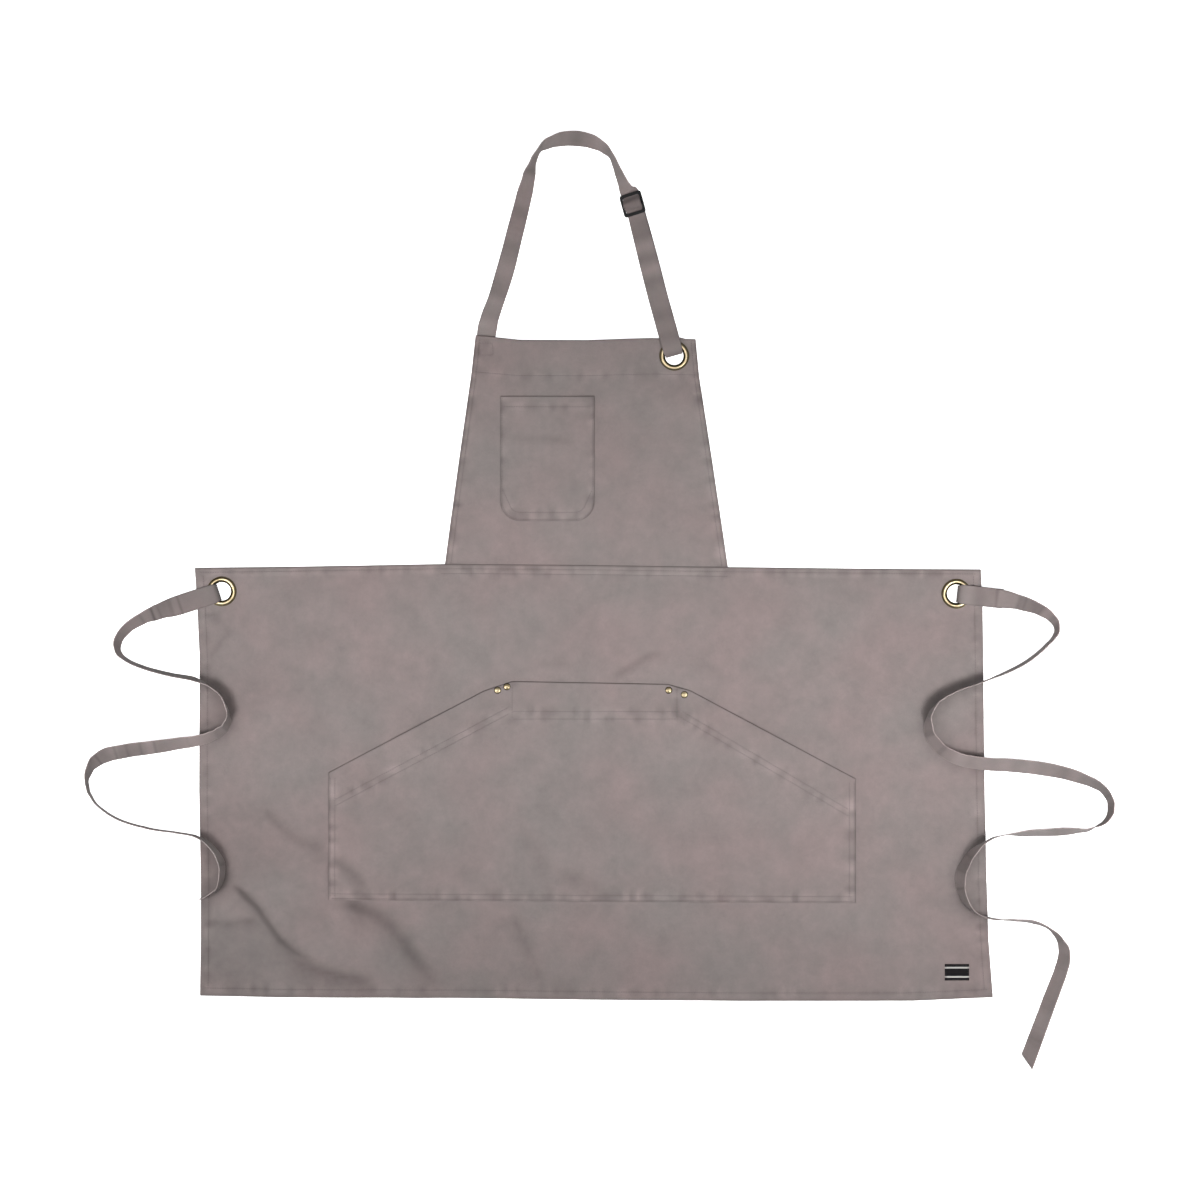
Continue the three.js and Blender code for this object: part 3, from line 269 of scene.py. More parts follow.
TIE_RIGHT = table(
    "x y rest roll",
    (491, 4, 6.1, 0), (511, 1.5, 4.2, 24), (535.5, -3.5, 1.8, 44), (561, -13, 0.4, 60), (576, -25, 0, 70),
    (581, -38, 0, 80), (573, -52, 0, 85), (547, -75.5, 0, 84), (520, -90.5, 1.8, 85),
    (491, -102.5, 2.9, 90), (453, -117, 2.4, 95), (431, -130, 1.6, 92), (420.5, -145.5, 1.6, 84),
    (418, -164, 1.6, 66), (428, -184, 1.6, 58), (452, -201, 2, 52), (491, -208.5, 2.9, 48),
    (523, -210.5, 1.2, 46), (561, -214.5, 0, 46), (599, -222.5, 0, 52), (627, -233, 0, 62),
    (641, -242, 0, 70), (649, -254.5, 0, 74), (650, -267, 0, 76), (645, -278.5, 0, 82),
    (637, -285.5, 0, 87), (621, -292, 0, 101), (586.5, -294.5, 0, 116), (548, -296.5, 0, 112),
    (514, -299, 2, 94), (492, -306, 2.9, 90), (472, -324, 2.4, 72), (458.5, -353, 1.6, 63),
    (463, -380, 1.6, 73), (478, -397.5, 2.7, 86), (498.5, -405.5, 2.9, 90), (525, -407.5, 0.8, 82),
    (551, -410, 0, 80), (570, -418, 0, 85), (584, -430.5, 0, 76), (590.5, -446, 0, 60), (589, -463, 0, 54),
    (571.5, -512.5, 0, 50), (543.5, -588, 0, 46))
TIE_LEFT = table(
    "x y rest roll",
    (-516.5, 0, 6.1, 0), (-538, -7, 3.6, -12), (-561, -15, 1.2, -40), (-583, -24, 0.3, -55),
    (-602, -37, 0, -62), (-613, -52, 0, -69), (-613, -65, 0, -78), (-604.5, -75, 0, -83),
    (-580, -86, 0, -83), (-548, -94.5, 1.2, -82), (-516.5, -100.5, 2.9, -80), (-495, -111, 2.7, -92),
    (-481, -124, 1.7, -92), (-473, -143, 1.6, -87), (-474.5, -159, 1.6, -72), (-487, -170.5, 2.4, -62),
    (-510, -178.5, 2.9, -57), (-535.5, -182.5, 1.4, -52), (-561, -186.5, 0, -48), (-602, -192, 0, -45),
    (-627, -197.5, 0, -44), (-640.5, -204.5, 0, -54), (-649.5, -216.5, 0, -74), (-652.8, -233, 0, -89),
    (-642.5, -257.5, 0, -90), (-614.5, -278, 0, -90), (-574, -290.5, 0, -90), (-538, -296, 1.4, -90),
    (-511, -301.5, 2.9, -90), (-492, -315.5, 2.6, -82), (-481.5, -334, 1.6, -75), (-481, -352, 1.6, -76),
    (-487, -368.5, 2.5, -83), (-501, -377.5, 2.9, -90), (-509, -380.5, 2.9, -90))
SEWN_END = 60.0
TAPE_STEP = 3.0  # between stations of a tape
TAPE_EDGE_HIGHLIGHT, TAPE_EDGE_SHADE, TAPE_EDGE = 0.6, 0.3, 0.9  # edges: painted highlight where they stand up, painted shade where they lie flat, and how far in
TAPE_FLOOR = 0.05  # lowest place of a tape over the floor
TAPE_FREE_RUN = 30.0  # stretch over which its ripples begin and end
UPRIGHT, UPRIGHT_RUN = 0.45, 0.45  # rise across a tape from which it counts as upright, and the run to all so
DIPPING, DIPPING_RUN = 0.55, 0.3  # the same for the rise along a tape, as it dips through an eyelet
TAPE_DIP_SHADE, TAPE_FOLD_REACH = 0.45, 4.0  # painted shade: share by which a tape is darker by a dip, and how far from it
TAPE_PATCH, TAPE_PATCH_SIZE, TAPE_PATCH_ROW = 0.2, 15.0, 0.5  # share, length and noise row of its uneven dark
TAPE_SEAM, TAPE_SEAM_DARK_FOLD_SHADE = 1.6, 0.3  # reach and share of the dark lines where a tape is sewn, and of the painted shade where it is creased
TAPE_SEEDS = {"neck_strap": 51, "waist_tie_left": 61, "waist_tie_right": 71}
UPRIGHT_PAINTED_LIGHT = 0.22  # painted light: share by which a tape is paler where it stands up
# Painted light: share by which each tape is paler along its way
STRAP_PAINTED_LIGHT = table("way share", (0, 0.2), (260, 0.2), (360, 0.07))
LEFT_PAINTED_LIGHT = table("way share", (0, 0))
RIGHT_PAINTED_LIGHT = table("way share", (1060, 0), (1120, 0.28))
TIE_SHADE = {"below": -95.0, "outer": 0.3, "outer_reach": 13.0}  # painted shadow: cloth darkened beside the loops of a tie
LEFT_SHADE = {"outside": 1, "inner": 0.24, "inner_reach": 17.0}
RIGHT_SHADE = {"outside": -1, "inner": 0.15, "inner_reach": 13.0}
LEFT_FOLDS = (124, 503, 522, 538, 554)  # way along each tie of its sharpest creases
RIGHT_FOLDS = (142, 172, 190)
SEWN_BOX = {"start": 112.0, "end": 148.0, "half": 8.5}  # way along a tie and half width of its sewn box
STEEP = 0.3  # level share of a heading below which a tape keeps the side it had
# Ripples of a free tape; 'dark' is the painted shade in their crosswise creases
RIPPLE = {"cross": 1.0, "cross_size": 13.0, "edge": 0.6, "edge_size": 34.0, "dark": 0.32, "narrow": 0.16,
          "even": 9, "straight": 0.012, "rest": 0.3, "apart": 300.0}
# Each tie's 'pale' entry is its painted light along the way
TIES = {
    "waist_tie_left": {"eye": WAIST_LEFT, "route": TIE_LEFT, "skew": 0.0, "folds": LEFT_FOLDS,
                       "pale": LEFT_PAINTED_LIGHT},
    "waist_tie_right": {"eye": WAIST_RIGHT, "route": TIE_RIGHT, "skew": END_SKEW, "folds": RIGHT_FOLDS,
                        "pale": RIGHT_PAINTED_LIGHT},
}
# Section of a tape: places across its width, and the share of its thickness there
TAPE_SECTION = table("at thick", (-0.5, 0.4), (-0.485, 0.95), (-0.45, 1.08), (-0.4, 0.94), (-0.2, 1), (0, 1),
                     (0.2, 1), (0.4, 0.94), (0.45, 1.08), (0.485, 0.95), (0.5, 0.4))

# Stitching
STITCH = {"pitch": 3.1, "long": 2.5, "radius": 0.3, "sink": 0.25, "crown": 0.22, "sides": 4}
STITCH_RINGS = table("share thick crown", (0.2, 0.75, 0.6), (0.5, 1, 1), (0.8, 0.75, 0.6))
# Stitched seams: grooves and puckers; 'tone' paints shade in the grooves and light on the puckers
SEAM = {"depth": 0.2, "half": 1.1, "pucker": 0.5, "pitch": 8.0, "reach": 6.5, "seed": 31, "tone": 0.42,
        "apart": 5.5}

# Tone of the brass: painted shade at its feet, a painted highlight on its crest, and a darker rivet cap
FOOT_PAINTED_SHADE = 0.95  # painted shade: share by which it is darker where it meets the cloth
CREST_PAINTED_HIGHLIGHT, CREST_HALF, CREST_FADE = 0.05, 0.2, 0.75  # painted highlight: how much paler a crest is, its half width and fall
CAP_DARK = 0.4  # share by which a rivet's cap is darker

# Profile of a rivet: its dished back, the burr's edge and the cap's rim from their radii, and the dimple
RIVET_BACK = table("radius z", (0, 0.25), (1.4, 0.25), (1.8, 0))
RIVET_BURR = table("radius z", (-0.3, 0), (0, 0.3), (-0.2, RIVET["burr_thick"]))
RIVET_RIM = table("radius z", (-0.4, -0.2), (0, 0.1), (-0.1, 0.4), (-0.5, 0.6))
RIVET_DIMPLE = table("radius z", (0.5, -0.16), (0, -0.2))

# Angle in degrees over which an edge is shaded as sharp
SHARP = {"cloth": 50, "tape": 60, "brass": 35, "plastic": 40}

# Colours
CANVAS_COLOR = (0.204, 0.169, 0.164)
TAPE_SHADE, THREAD_SHADE = 0.93, 0.52  # shares of the canvas's colour
BRASS_COLOR, TARNISH_COLOR = (0.66, 0.54, 0.34), (0.44, 0.34, 0.18)
PLASTIC_COLOR = (0.006, 0.006, 0.0065)
LABEL_COLOR, STRIPE_COLOR = (0.007, 0.006, 0.007), (0.5, 0.48, 0.46)
LABEL_THREAD_COLOR = (0.008, 0.007, 0.008)
FLOOR_COLOR, FLOOR_GLOW = (0.93, 0.93, 0.93), 1.0
WALE_SCALE, RIB_SCALE = 0.444, 0.314  # scales at which a wave texture makes one wale or one rib for each unit
RIB_PITCH = 0.55
STRIPES = table("at white", (0.17, 1), (0.27, 0), (0.73, 1), (0.83, 0))  # where the label changes colour

# Stage: floor, lights and camera
VIEW_WIDE = 1530.0  # width of the picture on the floor
CAMERA_HIGH, SENSOR, FARTHEST = 6000.0, 36.0, 100.0
FLOOR_HALF, FLOOR_DROP = 9000.0, 0.2
WORLD_STRENGTH = 0.05
# Low side lights model the folds and the tapes' faces; the higher ones throw the shadows
# Lights: place and aim in millimetres, size in metres, spread in degrees, power in watts
LIGHTS = [
    {"name": "soft_right", "place": (1180, -640, 1800), "aim": (440, -120, 0), "size": (0.6, 0.6),
     "spread": 52, "power": 4.3},
    {"name": "soft_left", "place": (-1230, -580, 1850), "aim": (-450, -30, 0), "size": (0.6, 0.6),
     "spread": 52, "power": 3.6},
    {"name": "low_right", "place": (2300, -900, 420), "aim": (0, -100, 0), "size": (0.5, 0.5), "spread": 120,
     "power": 4.0},
    {"name": "low_left", "place": (-2300, -900, 420), "aim": (0, -100, 0), "size": (0.5, 0.5), "spread": 120,
     "power": 8.0},
    {"name": "soft_top", "place": (0, 300, 2900), "aim": (0, 50, 0), "size": (2.4, 1.6), "spread": 150,
     "power": 20.0},
]


# Plain maths
def smooth(t):
    t = np.clip(t, 0, 1)
    return t * t * (3 - 2 * t)


def mixed(a, b, t):
    return a + (b - a) * t


def bell(t):
    """1 at 0, falling away on both sides."""
    return np.exp(-(t**2))


def hump(t):
    """1 at 0, falling to 0 at 1."""
    return (1 + np.cos(np.pi * np.minimum(1, t))) / 2


def noise(x, y, size, seed):
    """Smooth values from -1 to 1 that change over about the given size."""
    cells = 64
    values = np.random.default_rng(int(seed)).uniform(-1, 1, (cells, cells))
    gx, gy = np.asarray(x, float) / size, np.asarray(y, float) / size
    i, j = np.floor(gx).astype(int), np.floor(gy).astype(int)
    sx, sy = smooth(gx - i), smooth(gy - j)
    low = mixed(values[i % cells, j % cells], values[(i + 1) % cells, j % cells], sx)
    high = mixed(values[i % cells, (j + 1) % cells], values[(i + 1) % cells, (j + 1) % cells], sx)
    return mixed(low, high, sy)


def rows_of(columns):
    return [dict(zip(columns, row)) for row in zip(*columns.values())]


def lines(stretches, long=0.0):
    """Grid lines from 0, evenly spaced within each stretch."""
    found = [0.0]
    for row in rows_of(stretches):
        start = found[-1]
        end = row["end"] if row["end"] > 0 else long + row["end"]
        count = max(1, round((end - start) / row["step"]))
        found += [mixed(start, end, k / count) for k in range(1, count + 1)]
    return np.array(found)


# Heights of the laid cloth
def lift_at(lifts, x, y):
    height = np.zeros_like(x)
    for lift in rows_of(lifts):
        out = np.hypot(np.maximum(0, abs(x - lift["x"]) - lift["half_x"]),
                       np.maximum(0, abs(y - lift["y"]) - lift["half_y"]))
        height = np.maximum(height, lift["height"] * smooth((lift["fade"] - out) / lift["fade"]))
    return height


def creases_over(creases, x, y):
    """For each crease, how far places lie to the left of it and how much of it is left there."""
    for crease in creases:
        away, way, side = to_path(x, y, crease["path"])
        share = way / way.max()
        start, end = crease.get("fade", CREASE_FADE)
        uneven = 1 + CREASE_UNEVEN * noise(way, crease["height"] * CREASE_SIZE, CREASE_SIZE, CREASE_SEED)
        yield crease, away * side, uneven * smooth(share / start) * smooth((1 - share) / end)


def crease_at(creases, x, y):
    height = np.zeros_like(x)
    for crease, aside, fade in creases_over(creases, x, y):
        off = aside + crease["steep"] / 2
        reach = np.where(off > 0, crease["steep"], crease["gentle"])
        height += crease["height"] * fade * hump(abs(off) / reach)
    return height


def crease_painted_shading(creases, x, y):
    """Painted shade in the fold of a crease, dying away slowly on its right, and painted light past it on its
    left.
    """
    tone = np.zeros_like(x)
    for crease, aside, fade in creases_over(creases, x, y):
        reach = np.where(aside > 0, crease["steep"], crease["gentle"]) / 2
        broad = np.exp(-np.where(aside > 0, (aside / reach) ** 2, abs(aside) / reach))
        fold = mixed(broad, bell(aside / CREASE_THIN), crease.get("line", CREASE_LINE))
        past = bell((aside - CREASE_PAST * crease["steep"]) / crease["steep"])
        tone += crease["dark"] * fade * (CREASE_PAINTED_LIGHT * past - fold)
    return tone


def round_rise(places, x, y):
    """The sum of round rises, each about a point."""
    height = np.zeros_like(x)
    for row in rows_of(places):
        height += row["most"] * hump(np.hypot(x - row["x"], y - row["y"]) / row["half"])
    return height


def tie_shade(x, y):
    """Painted shadow on the cloth beside the loops of the ties, most on their outer sides."""
    tone = np.zeros_like(x)
    for route, shaded in ((TIE_LEFT, LEFT_SHADE), (TIE_RIGHT, RIGHT_SHADE)):
        low = route["y"] < TIE_SHADE["below"]
        away, _, side = to_path(x, y, list(zip(route["x"][low], route["y"][low])))
        outer = TIE_SHADE["outer"] * bell(away / TIE_SHADE["outer_reach"])
        inner = shaded["inner"] * bell(away / shaded["inner_reach"])
        tone -= np.where(side == shaded["outside"], outer, inner)
    return tone


def wrinkle_at(x, y):
    height = np.zeros_like(x)
    for row in rows_of(WRINKLES):
        turn = math.radians(row["turn"])
        along = (x * math.cos(turn) + y * math.sin(turn)) / row["stretch"]
        across = y * math.cos(turn) - x * math.sin(turn)
        height += row["height"] * (1 + noise(along, across, row["size"], row["seed"])) / 2
    return height


def to_path(x, y, path):
    """Distance of points from a path, the way along it to the nearest place, and 1 left or -1 right of it."""
    best = np.full(np.shape(x), np.inf)
    way = np.zeros(np.shape(x))
    side = np.ones(np.shape(x))
    start = 0.0
    for (ax, ay), (bx, by) in zip(path, path[1:]):
        long = max(TINY, math.hypot(bx - ax, by - ay))
        share = np.clip(((x - ax) * (bx - ax) + (y - ay) * (by - ay)) / long**2, 0, 1)
        away = np.hypot(x - ax - share * (bx - ax), y - ay - share * (by - ay))
        way = np.where(away < best, start + share * long, way)
        side = np.where(away < best, np.sign((bx - ax) * (y - ay) - (by - ay) * (x - ax)), side)
        best = np.minimum(best, away)
        start += long
    return best, way, side


def clear_of(x, y, places, near, far):
    """0 close to any of the places and 1 away from them all."""
    calm = np.ones_like(x)
    for px, py in places:
        calm *= smooth((np.hypot(x - px, y - py) - near) / (far - near))
    return calm


def skirt_under(x, y):
    calm = clear_of(x, y, WAIST_EYES, *CALM["eyelet"]) * clear_of(x, y, RIVETS.values(), *CALM["rivet"])
    calm = calm * clear_of(x, y, [(LABEL["x"], LABEL["y"])], *CALM["label"])
    calm = calm * np.interp(x, CALM_SIDES["at"], CALM_SIDES["share"]) * smooth((WAIST_TOP - y) / WAIST_CALM)
    return lift_at(SKIRT_LIFTS, x, y) + crease_at(SKIRT_CREASES, x, y) + calm * wrinkle_at(x, y)


def bib_under(x, y):
    calm = clear_of(x, y, NECK_EYE, *CALM["eyelet"]) * smooth((y - BIB_LOW) / BIB_CALM)
    return lift_at(BIB_LIFTS, x, y) + calm * wrinkle_at(x, y)


def seam_relief(x, y, paths):
    """Grooves along the stitching and the puckers beside it."""
    relief = np.zeros_like(x)
    for k, path in enumerate(paths):
        away, way, _ = to_path(x, y, path)
        pucker = noise(way, SEAM["apart"] * k, SEAM["pitch"], SEAM["seed"])
        relief += SEAM["pucker"] * pucker * bell(away / SEAM["reach"])
        relief -= SEAM["depth"] * bell(away / SEAM["half"])
    return relief


def edge_round(d):
    """Share of the wall left at a distance from a folded edge."""
    return np.sqrt(1 - (1 - np.clip(d / EDGE_ROUND, 0, 1)) ** 2)


# Meshes
def new_piece(name, vertices, faces, material, node=None, sharp=None, attributes=()):
    """A mesh object from points in millimetres that rides on the body and may stand for a CAD node."""
    mesh = bpy.data.meshes.new(name)
    mesh.from_pydata(np.asarray(vertices, float) * MM, [], faces)
    mesh.validate()
    mesh.shade_smooth()
    if sharp:
        mesh.set_sharp_from_angle(angle=math.radians(sharp))
    for key, values in attributes:
        kind = "FLOAT_VECTOR" if np.ndim(values) == 2 else "FLOAT"
        field = mesh.attributes.new(key, kind, "POINT")
        field.data.foreach_set("vector" if kind == "FLOAT_VECTOR" else "value",
                               np.ascontiguousarray(values, np.float32).ravel())
    piece = bpy.data.objects.new(name, mesh)
    bpy.context.scene.collection.objects.link(piece)
    mesh.materials.append(material)
    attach(piece, BODY)
    if node:
        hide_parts(node)
    return piece


def shell(x, y, low, high, keep=None):
    """Points and faces of a closed sheet over a grid, with a rim round every kept stretch of it."""
    rows, columns = x.shape
    keep = np.ones((rows - 1, columns - 1), bool) if keep is None else keep
    points = np.concatenate([np.stack([x, y, z], -1).reshape(-1, 3) for z in (low, high)])
    index = np.arange(rows * columns).reshape(rows, columns)
    top = rows * columns
    corner = [index[:-1, :-1], index[:-1, 1:], index[1:, 1:], index[1:, :-1]]
    a, b, c, d = (k[keep] for k in corner)
    quads = [np.stack([a, b, c, d], -1) + top, np.stack([d, c, b, a], -1)]
    held = np.pad(keep, 1)
    beside = [(held[:-2, 1:-1], 0, 1), (held[1:-1, 2:], 1, 2), (held[2:, 1:-1], 2, 3), (held[1:-1, :-2], 3, 0)]
    for neighbour, first, second in beside:
        rim = keep & ~neighbour
        p, q = corner[first][rim], corner[second][rim]
        quads.append(np.stack([p, q, q + top, p + top], -1))
    faces = np.concatenate(quads)
    used, faces = np.unique(faces, return_inverse=True)
    return points[used], faces.reshape(-1, 4), used


def with_holes(x, y, places, radius, reach):
    """The grid with round holes: which cells stay, and the points moved onto the holes' edges."""
    middle_x, middle_y = (x[1:, 1:] + x[:-1, :-1]) / 2, (y[1:, 1:] + y[:-1, :-1]) / 2
    keep = np.ones(middle_x.shape, bool)
    for px, py in places:
        cut = np.hypot(middle_x - px, middle_y - py) < HOLE_CUT * radius
        keep &= ~cut
        rim = np.zeros(x.shape, bool)
        first, last = slice(None, -1), slice(1, None)
        for shift in ((first, first), (first, last), (last, first), (last, last)):
            rim[shift] |= cut
        away = np.hypot(x - px, y - py)
        moved = np.where(rim, radius, radius + (reach - radius) * np.clip(away / reach, HOLE_SQUEEZE, 1))
        near = rim | (away < reach)
        share = np.where(near, moved / np.maximum(away, TINY), 1)
        x, y = px + (x - px) * share, py + (y - py) * share
    return x, y, keep


def surface_of(piece):
    """A finder of the height of a piece's upper side."""
    mesh = piece.data
    faces = [tuple(p.vertices) for p in mesh.polygons]
    tree = BVHTree.FromPolygons([v.co.copy() for v in mesh.vertices], faces)

    def height(x, y):
        hit = tree.ray_cast(Vector((x * MM, y * MM, 1.0)), Vector((0, 0, -1)))[0]
        return hit.z / MM if hit else 0.0

    return height


def stitch_places(path, centred=True):
    """Places where the stitches along a path start, and where they end."""
    path = np.asarray(path, float)
    way = np.concatenate([[0], np.cumsum(np.hypot(*np.diff(path, axis=0).T))])
    count = int(way[-1] // STITCH["pitch"])
    starts = np.arange(count) * STITCH["pitch"] + centred * (way[-1] - count * STITCH["pitch"]) / 2
    return [[np.interp(at, way, axis) for axis in path.T] for at in (starts, starts + STITCH["long"])]


def stitch_ends(path, height):
    """Start and end points of the stitches along a path on a surface, and the way up from it."""
    start, end = (np.stack([x, y, [height(*spot) for spot in zip(x, y)]], -1) for x, y in stitch_places(path))
    return start, end, np.tile(UP, (len(start), 1))


def stitch_piece(name, ends, material):
    """All the stitches of one piece as small thread bows in one mesh."""
    start, end, up = (np.concatenate(part) for part in zip(*ends))
    line = end - start
    side = np.cross(up, line)
    side /= np.linalg.norm(side, axis=1, keepdims=True)
    points = [start - up * STITCH["sink"]]
    for ring in rows_of(STITCH_RINGS):
        middle = start + line * ring["share"] + up * STITCH["crown"] * ring["crown"]
        radius = STITCH["radius"] * ring["thick"]
        points += [middle + side * radius, middle + up * radius, middle - side * radius, middle - up * radius]
    points.append(end - up * STITCH["sink"])
    count, sides = len(points), STITCH["sides"]
    vertices = np.stack(points, 1).reshape(-1, 3)
    around = [(k, (k + 1) % sides) for k in range(sides)]
    rings = range(1, count - 1, sides)
    one = [(0, 1 + n, 1 + k) for k, n in around]
    for low, high in zip(rings, rings[1:]):
        one += [(low + k, low + n, high + n, high + k) for k, n in around]
    one += [(rings[-1] + k, rings[-1] + n, count - 1) for k, n in around]
    faces = [tuple(i + n * count for i in face) for n in range(len(start)) for face in one]
    return new_piece(name, vertices, faces, material)


# Materials
def new_material(name, roughness, metallic=0.0, **sockets):
    material = bpy.data.materials.new(name)
    material.use_nodes = True
    shader = material.node_tree.nodes["Principled BSDF"]
    shader.inputs["Roughness"].default_value = roughness
    shader.inputs["Metallic"].default_value = metallic
    for key, value in sockets.items():
        shader.inputs[key.replace("_", " ").title().replace("Ior", "IOR")].default_value = value
    return material, material.node_tree, shader


def add(tree, kind, inputs=None, **settings):
    node = tree.nodes.new("ShaderNode" + kind)
    for key, value in settings.items():
        setattr(node, key, value)
    for key, value in (inputs or {}).items():
        if isinstance(value, bpy.types.NodeSocket):
            tree.links.new(value, node.inputs[key])
        else:
            node.inputs[key].default_value = value
    return node


def summed(tree, *parts):
    """A socket with the weighted sum of (socket, weight) pairs."""
    total = None
    for socket, weight in parts:
        scaled = add(tree, "Math", {0: socket, 1: weight}, operation="MULTIPLY").outputs[0]
        if total is not None:
            scaled = add(tree, "Math", {0: total, 1: scaled}, operation="ADD").outputs[0]
        total = scaled
    return total


def ramp(tree, socket, *stops):
    node = add(tree, "ValToRGB", {0: socket})
    while len(node.color_ramp.elements) < len(stops):
        node.color_ramp.elements.new(0.5)
    for element, (at, color) in zip(node.color_ramp.elements, stops):
        element.position = at
        element.color = (*color, 1)
    return node.outputs["Color"]


def shade(color, by):
    return tuple(c * by for c in color)


def with_tone(tree, color):
    """A colour made paler or darker by the tone that the mesh carries, which holds painted shade and painted
    light.
    """
    tone = add(tree, "Attribute", attribute_name="tone").outputs["Fac"]
    factor = add(tree, "Math", {0: tone, 1: 1.0}, operation="ADD").outputs[0]
    return add(tree, "VectorMath", {0: color, "Scale": factor}, operation="SCALE").outputs[0]


def grain(tree, place, scale, detail, roughness=0.5):
    inputs = {"Vector": place, "Scale": scale, "Detail": detail, "Roughness": roughness}
    return add(tree, "TexNoise", inputs).outputs["Fac"]


def ranged(tree, socket, before, after=(0.0, 1.0)):
    """A socket's values moved from one range to another."""
    return add(tree, "MapRange", dict(enumerate((socket, *before, *after)))).outputs[0]


def dress(tree, shader, color, rough=None, bump=None):
    """Plugs in a colour and, where given, a roughness and a bump of height, strength and distance."""
    tree.links.new(color, shader.inputs["Base Color"])
    if rough:
        tree.links.new(rough, shader.inputs["Roughness"])
    if bump:
        normal = add(tree, "Bump", dict(zip(("Height", "Strength", "Distance"), bump))).outputs[0]
        tree.links.new(normal, shader.inputs["Normal"])


def woven(name, color, pitch, bump, contrast):
    """Twill cloth: diagonal wales, uneven yarn, slow fading, and the painted shade and light that the mesh
    carries as its tone.
    """
    material, tree, shader = new_material(name, 0.92, sheen_weight=0.12, sheen_roughness=0.5)
    weave = add(tree, "Attribute", attribute_name="weave").outputs["Vector"]
    wave = {"Vector": weave, "Scale": WALE_SCALE / (pitch * MM), "Distortion": 0.9, "Detail": 2.0,
            "Detail Scale": 1.4}
    wales = add(tree, "TexWave", wave, bands_direction="DIAGONAL").outputs["Fac"]
    yarn = grain(tree, weave, 620.0, 4.0, 0.65)
    slub = grain(tree, weave, 110.0, 3.0, 0.6)
    mottle = grain(tree, weave, 32.0, 2.0)
    cloud = grain(tree, weave, 8.0, 4.0, 0.55)
    tone = summed(tree, (wales, 0.18), (yarn, 0.26), (slub, 0.22), (mottle, 0.24), (cloud, 0.1))
    even = ramp(tree, tone, (0.2, shade(color, 1 - contrast)), (0.5, color), (0.8, shade(color, 1 + contrast)))
    tint = ramp(tree, cloud, (0.36, (0.94, 0.985, 0.98)), (0.64, (1.0, 0.955, 0.96)))
    base = add(tree, "Mix", {0: 1.0, 6: even, 7: tint}, data_type="RGBA", blend_type="MULTIPLY").outputs[2]
    relief = summed(tree, (wales, 0.55), (yarn, 0.45))
    rough = ranged(tree, yarn, (0.0, 1.0), (0.84, 0.98))
    dress(tree, shader, with_tone(tree, base), rough, (relief, bump, 0.0003))
    return material


def metal(name, color, dark):
    """Pressed brass: slightly uneven polish, darker tarnish, fine rubbing marks, and the painted shade and
    highlight that the mesh carries as its tone.
    """
    material, tree, shader = new_material(name, 0.3, 1.0, specular_tint=(*shade(color, 0.6), 1))
    place = add(tree, "TexCoord").outputs["Object"]
    tarnish = grain(tree, place, 55.0, 3.0)
    rub = grain(tree, place, 1500.0, 3.0)
    tone = summed(tree, (tarnish, 0.75), (rub, 0.25))
    even = ramp(tree, tone, (0.3, dark), (0.55, color), (0.8, shade(color, 1.12)))
    rough = ranged(tree, tarnish, (0.3, 0.7), (0.36, 0.5))
    dress(tree, shader, with_tone(tree, even), rough, (rub, 0.05, 0.0001))
    return material


def plastic(name, color):
    """Moulded plastic with a fine matt grain."""
    material, tree, shader = new_material(name, 0.5, specular_ior_level=0.25)
    place = add(tree, "TexCoord").outputs["Object"]
    patch = grain(tree, place, 120.0, 3.0)
    even = ramp(tree, patch, (0.3, shade(color, 0.8)), (0.7, shade(color, 1.4)))
    rough = ranged(tree, patch, (0.3, 0.7), (0.42, 0.58))
    dress(tree, shader, even, rough, (grain(tree, place, 1800.0, 3.0), 0.2, 0.0001))
    return material


def striped(name, color, pale):
    """Woven label cloth with two plain pale stripes along it."""
    material, tree, shader = new_material(name, 0.85, specular_ior_level=0.15)
    weave = add(tree, "Attribute", attribute_name="weave").outputs["Vector"]
    across = add(tree, "SeparateXYZ", {0: weave}).outputs["Y"]
    half = LABEL["high"] / 2
    share = ranged(tree, across, ((LABEL["y"] - half) * MM, (LABEL["y"] + half) * MM))
    stripes = add(tree, "ValToRGB", {0: share})
    stripes.color_ramp.interpolation = "CONSTANT"
    for row in rows_of(STRIPES):
        stripes.color_ramp.elements.new(row["at"]).color = (*[row["white"]] * 3, 1)
    for end in (0, -1):
        stripes.color_ramp.elements[end].color = (0, 0, 0, 1)
    ribs = add(tree, "TexWave", {"Vector": weave, "Scale": RIB_SCALE / (RIB_PITCH * MM), "Distortion": 0.5},
               bands_direction="Y").outputs["Fac"]
    tone = summed(tree, (grain(tree, weave, 1400.0, 3.0), 0.6), (ribs, 0.4))
    black = ramp(tree, tone, (0.2, shade(color, 0.6)), (0.8, shade(color, 1.7)))
    white = ramp(tree, tone, (0.2, shade(pale, 0.75)), (0.8, pale))
    both = add(tree, "Mix", {0: stripes.outputs["Color"], 6: black, 7: white}, data_type="RGBA").outputs[2]
    dress(tree, shader, both, bump=(tone, 0.4, 0.0002))
    return material


canvas = woven("canvas_twill", CANVAS_COLOR, 0.95, 0.35, 0.36)
tape_cloth = woven("tape_twill", shade(CANVAS_COLOR, TAPE_SHADE), 1.2, 0.5, 0.2)
thread = woven("sewing_thread", shade(CANVAS_COLOR, THREAD_SHADE), 0.5, 0.2, 0.12)
brass = metal("pressed_brass", BRASS_COLOR, TARNISH_COLOR)
black_plastic = plastic("moulded_plastic", PLASTIC_COLOR)
label_cloth = striped("label_weave", LABEL_COLOR, STRIPE_COLOR)
black_thread = woven("label_thread", LABEL_THREAD_COLOR, 0.5, 0.2, 0.12)


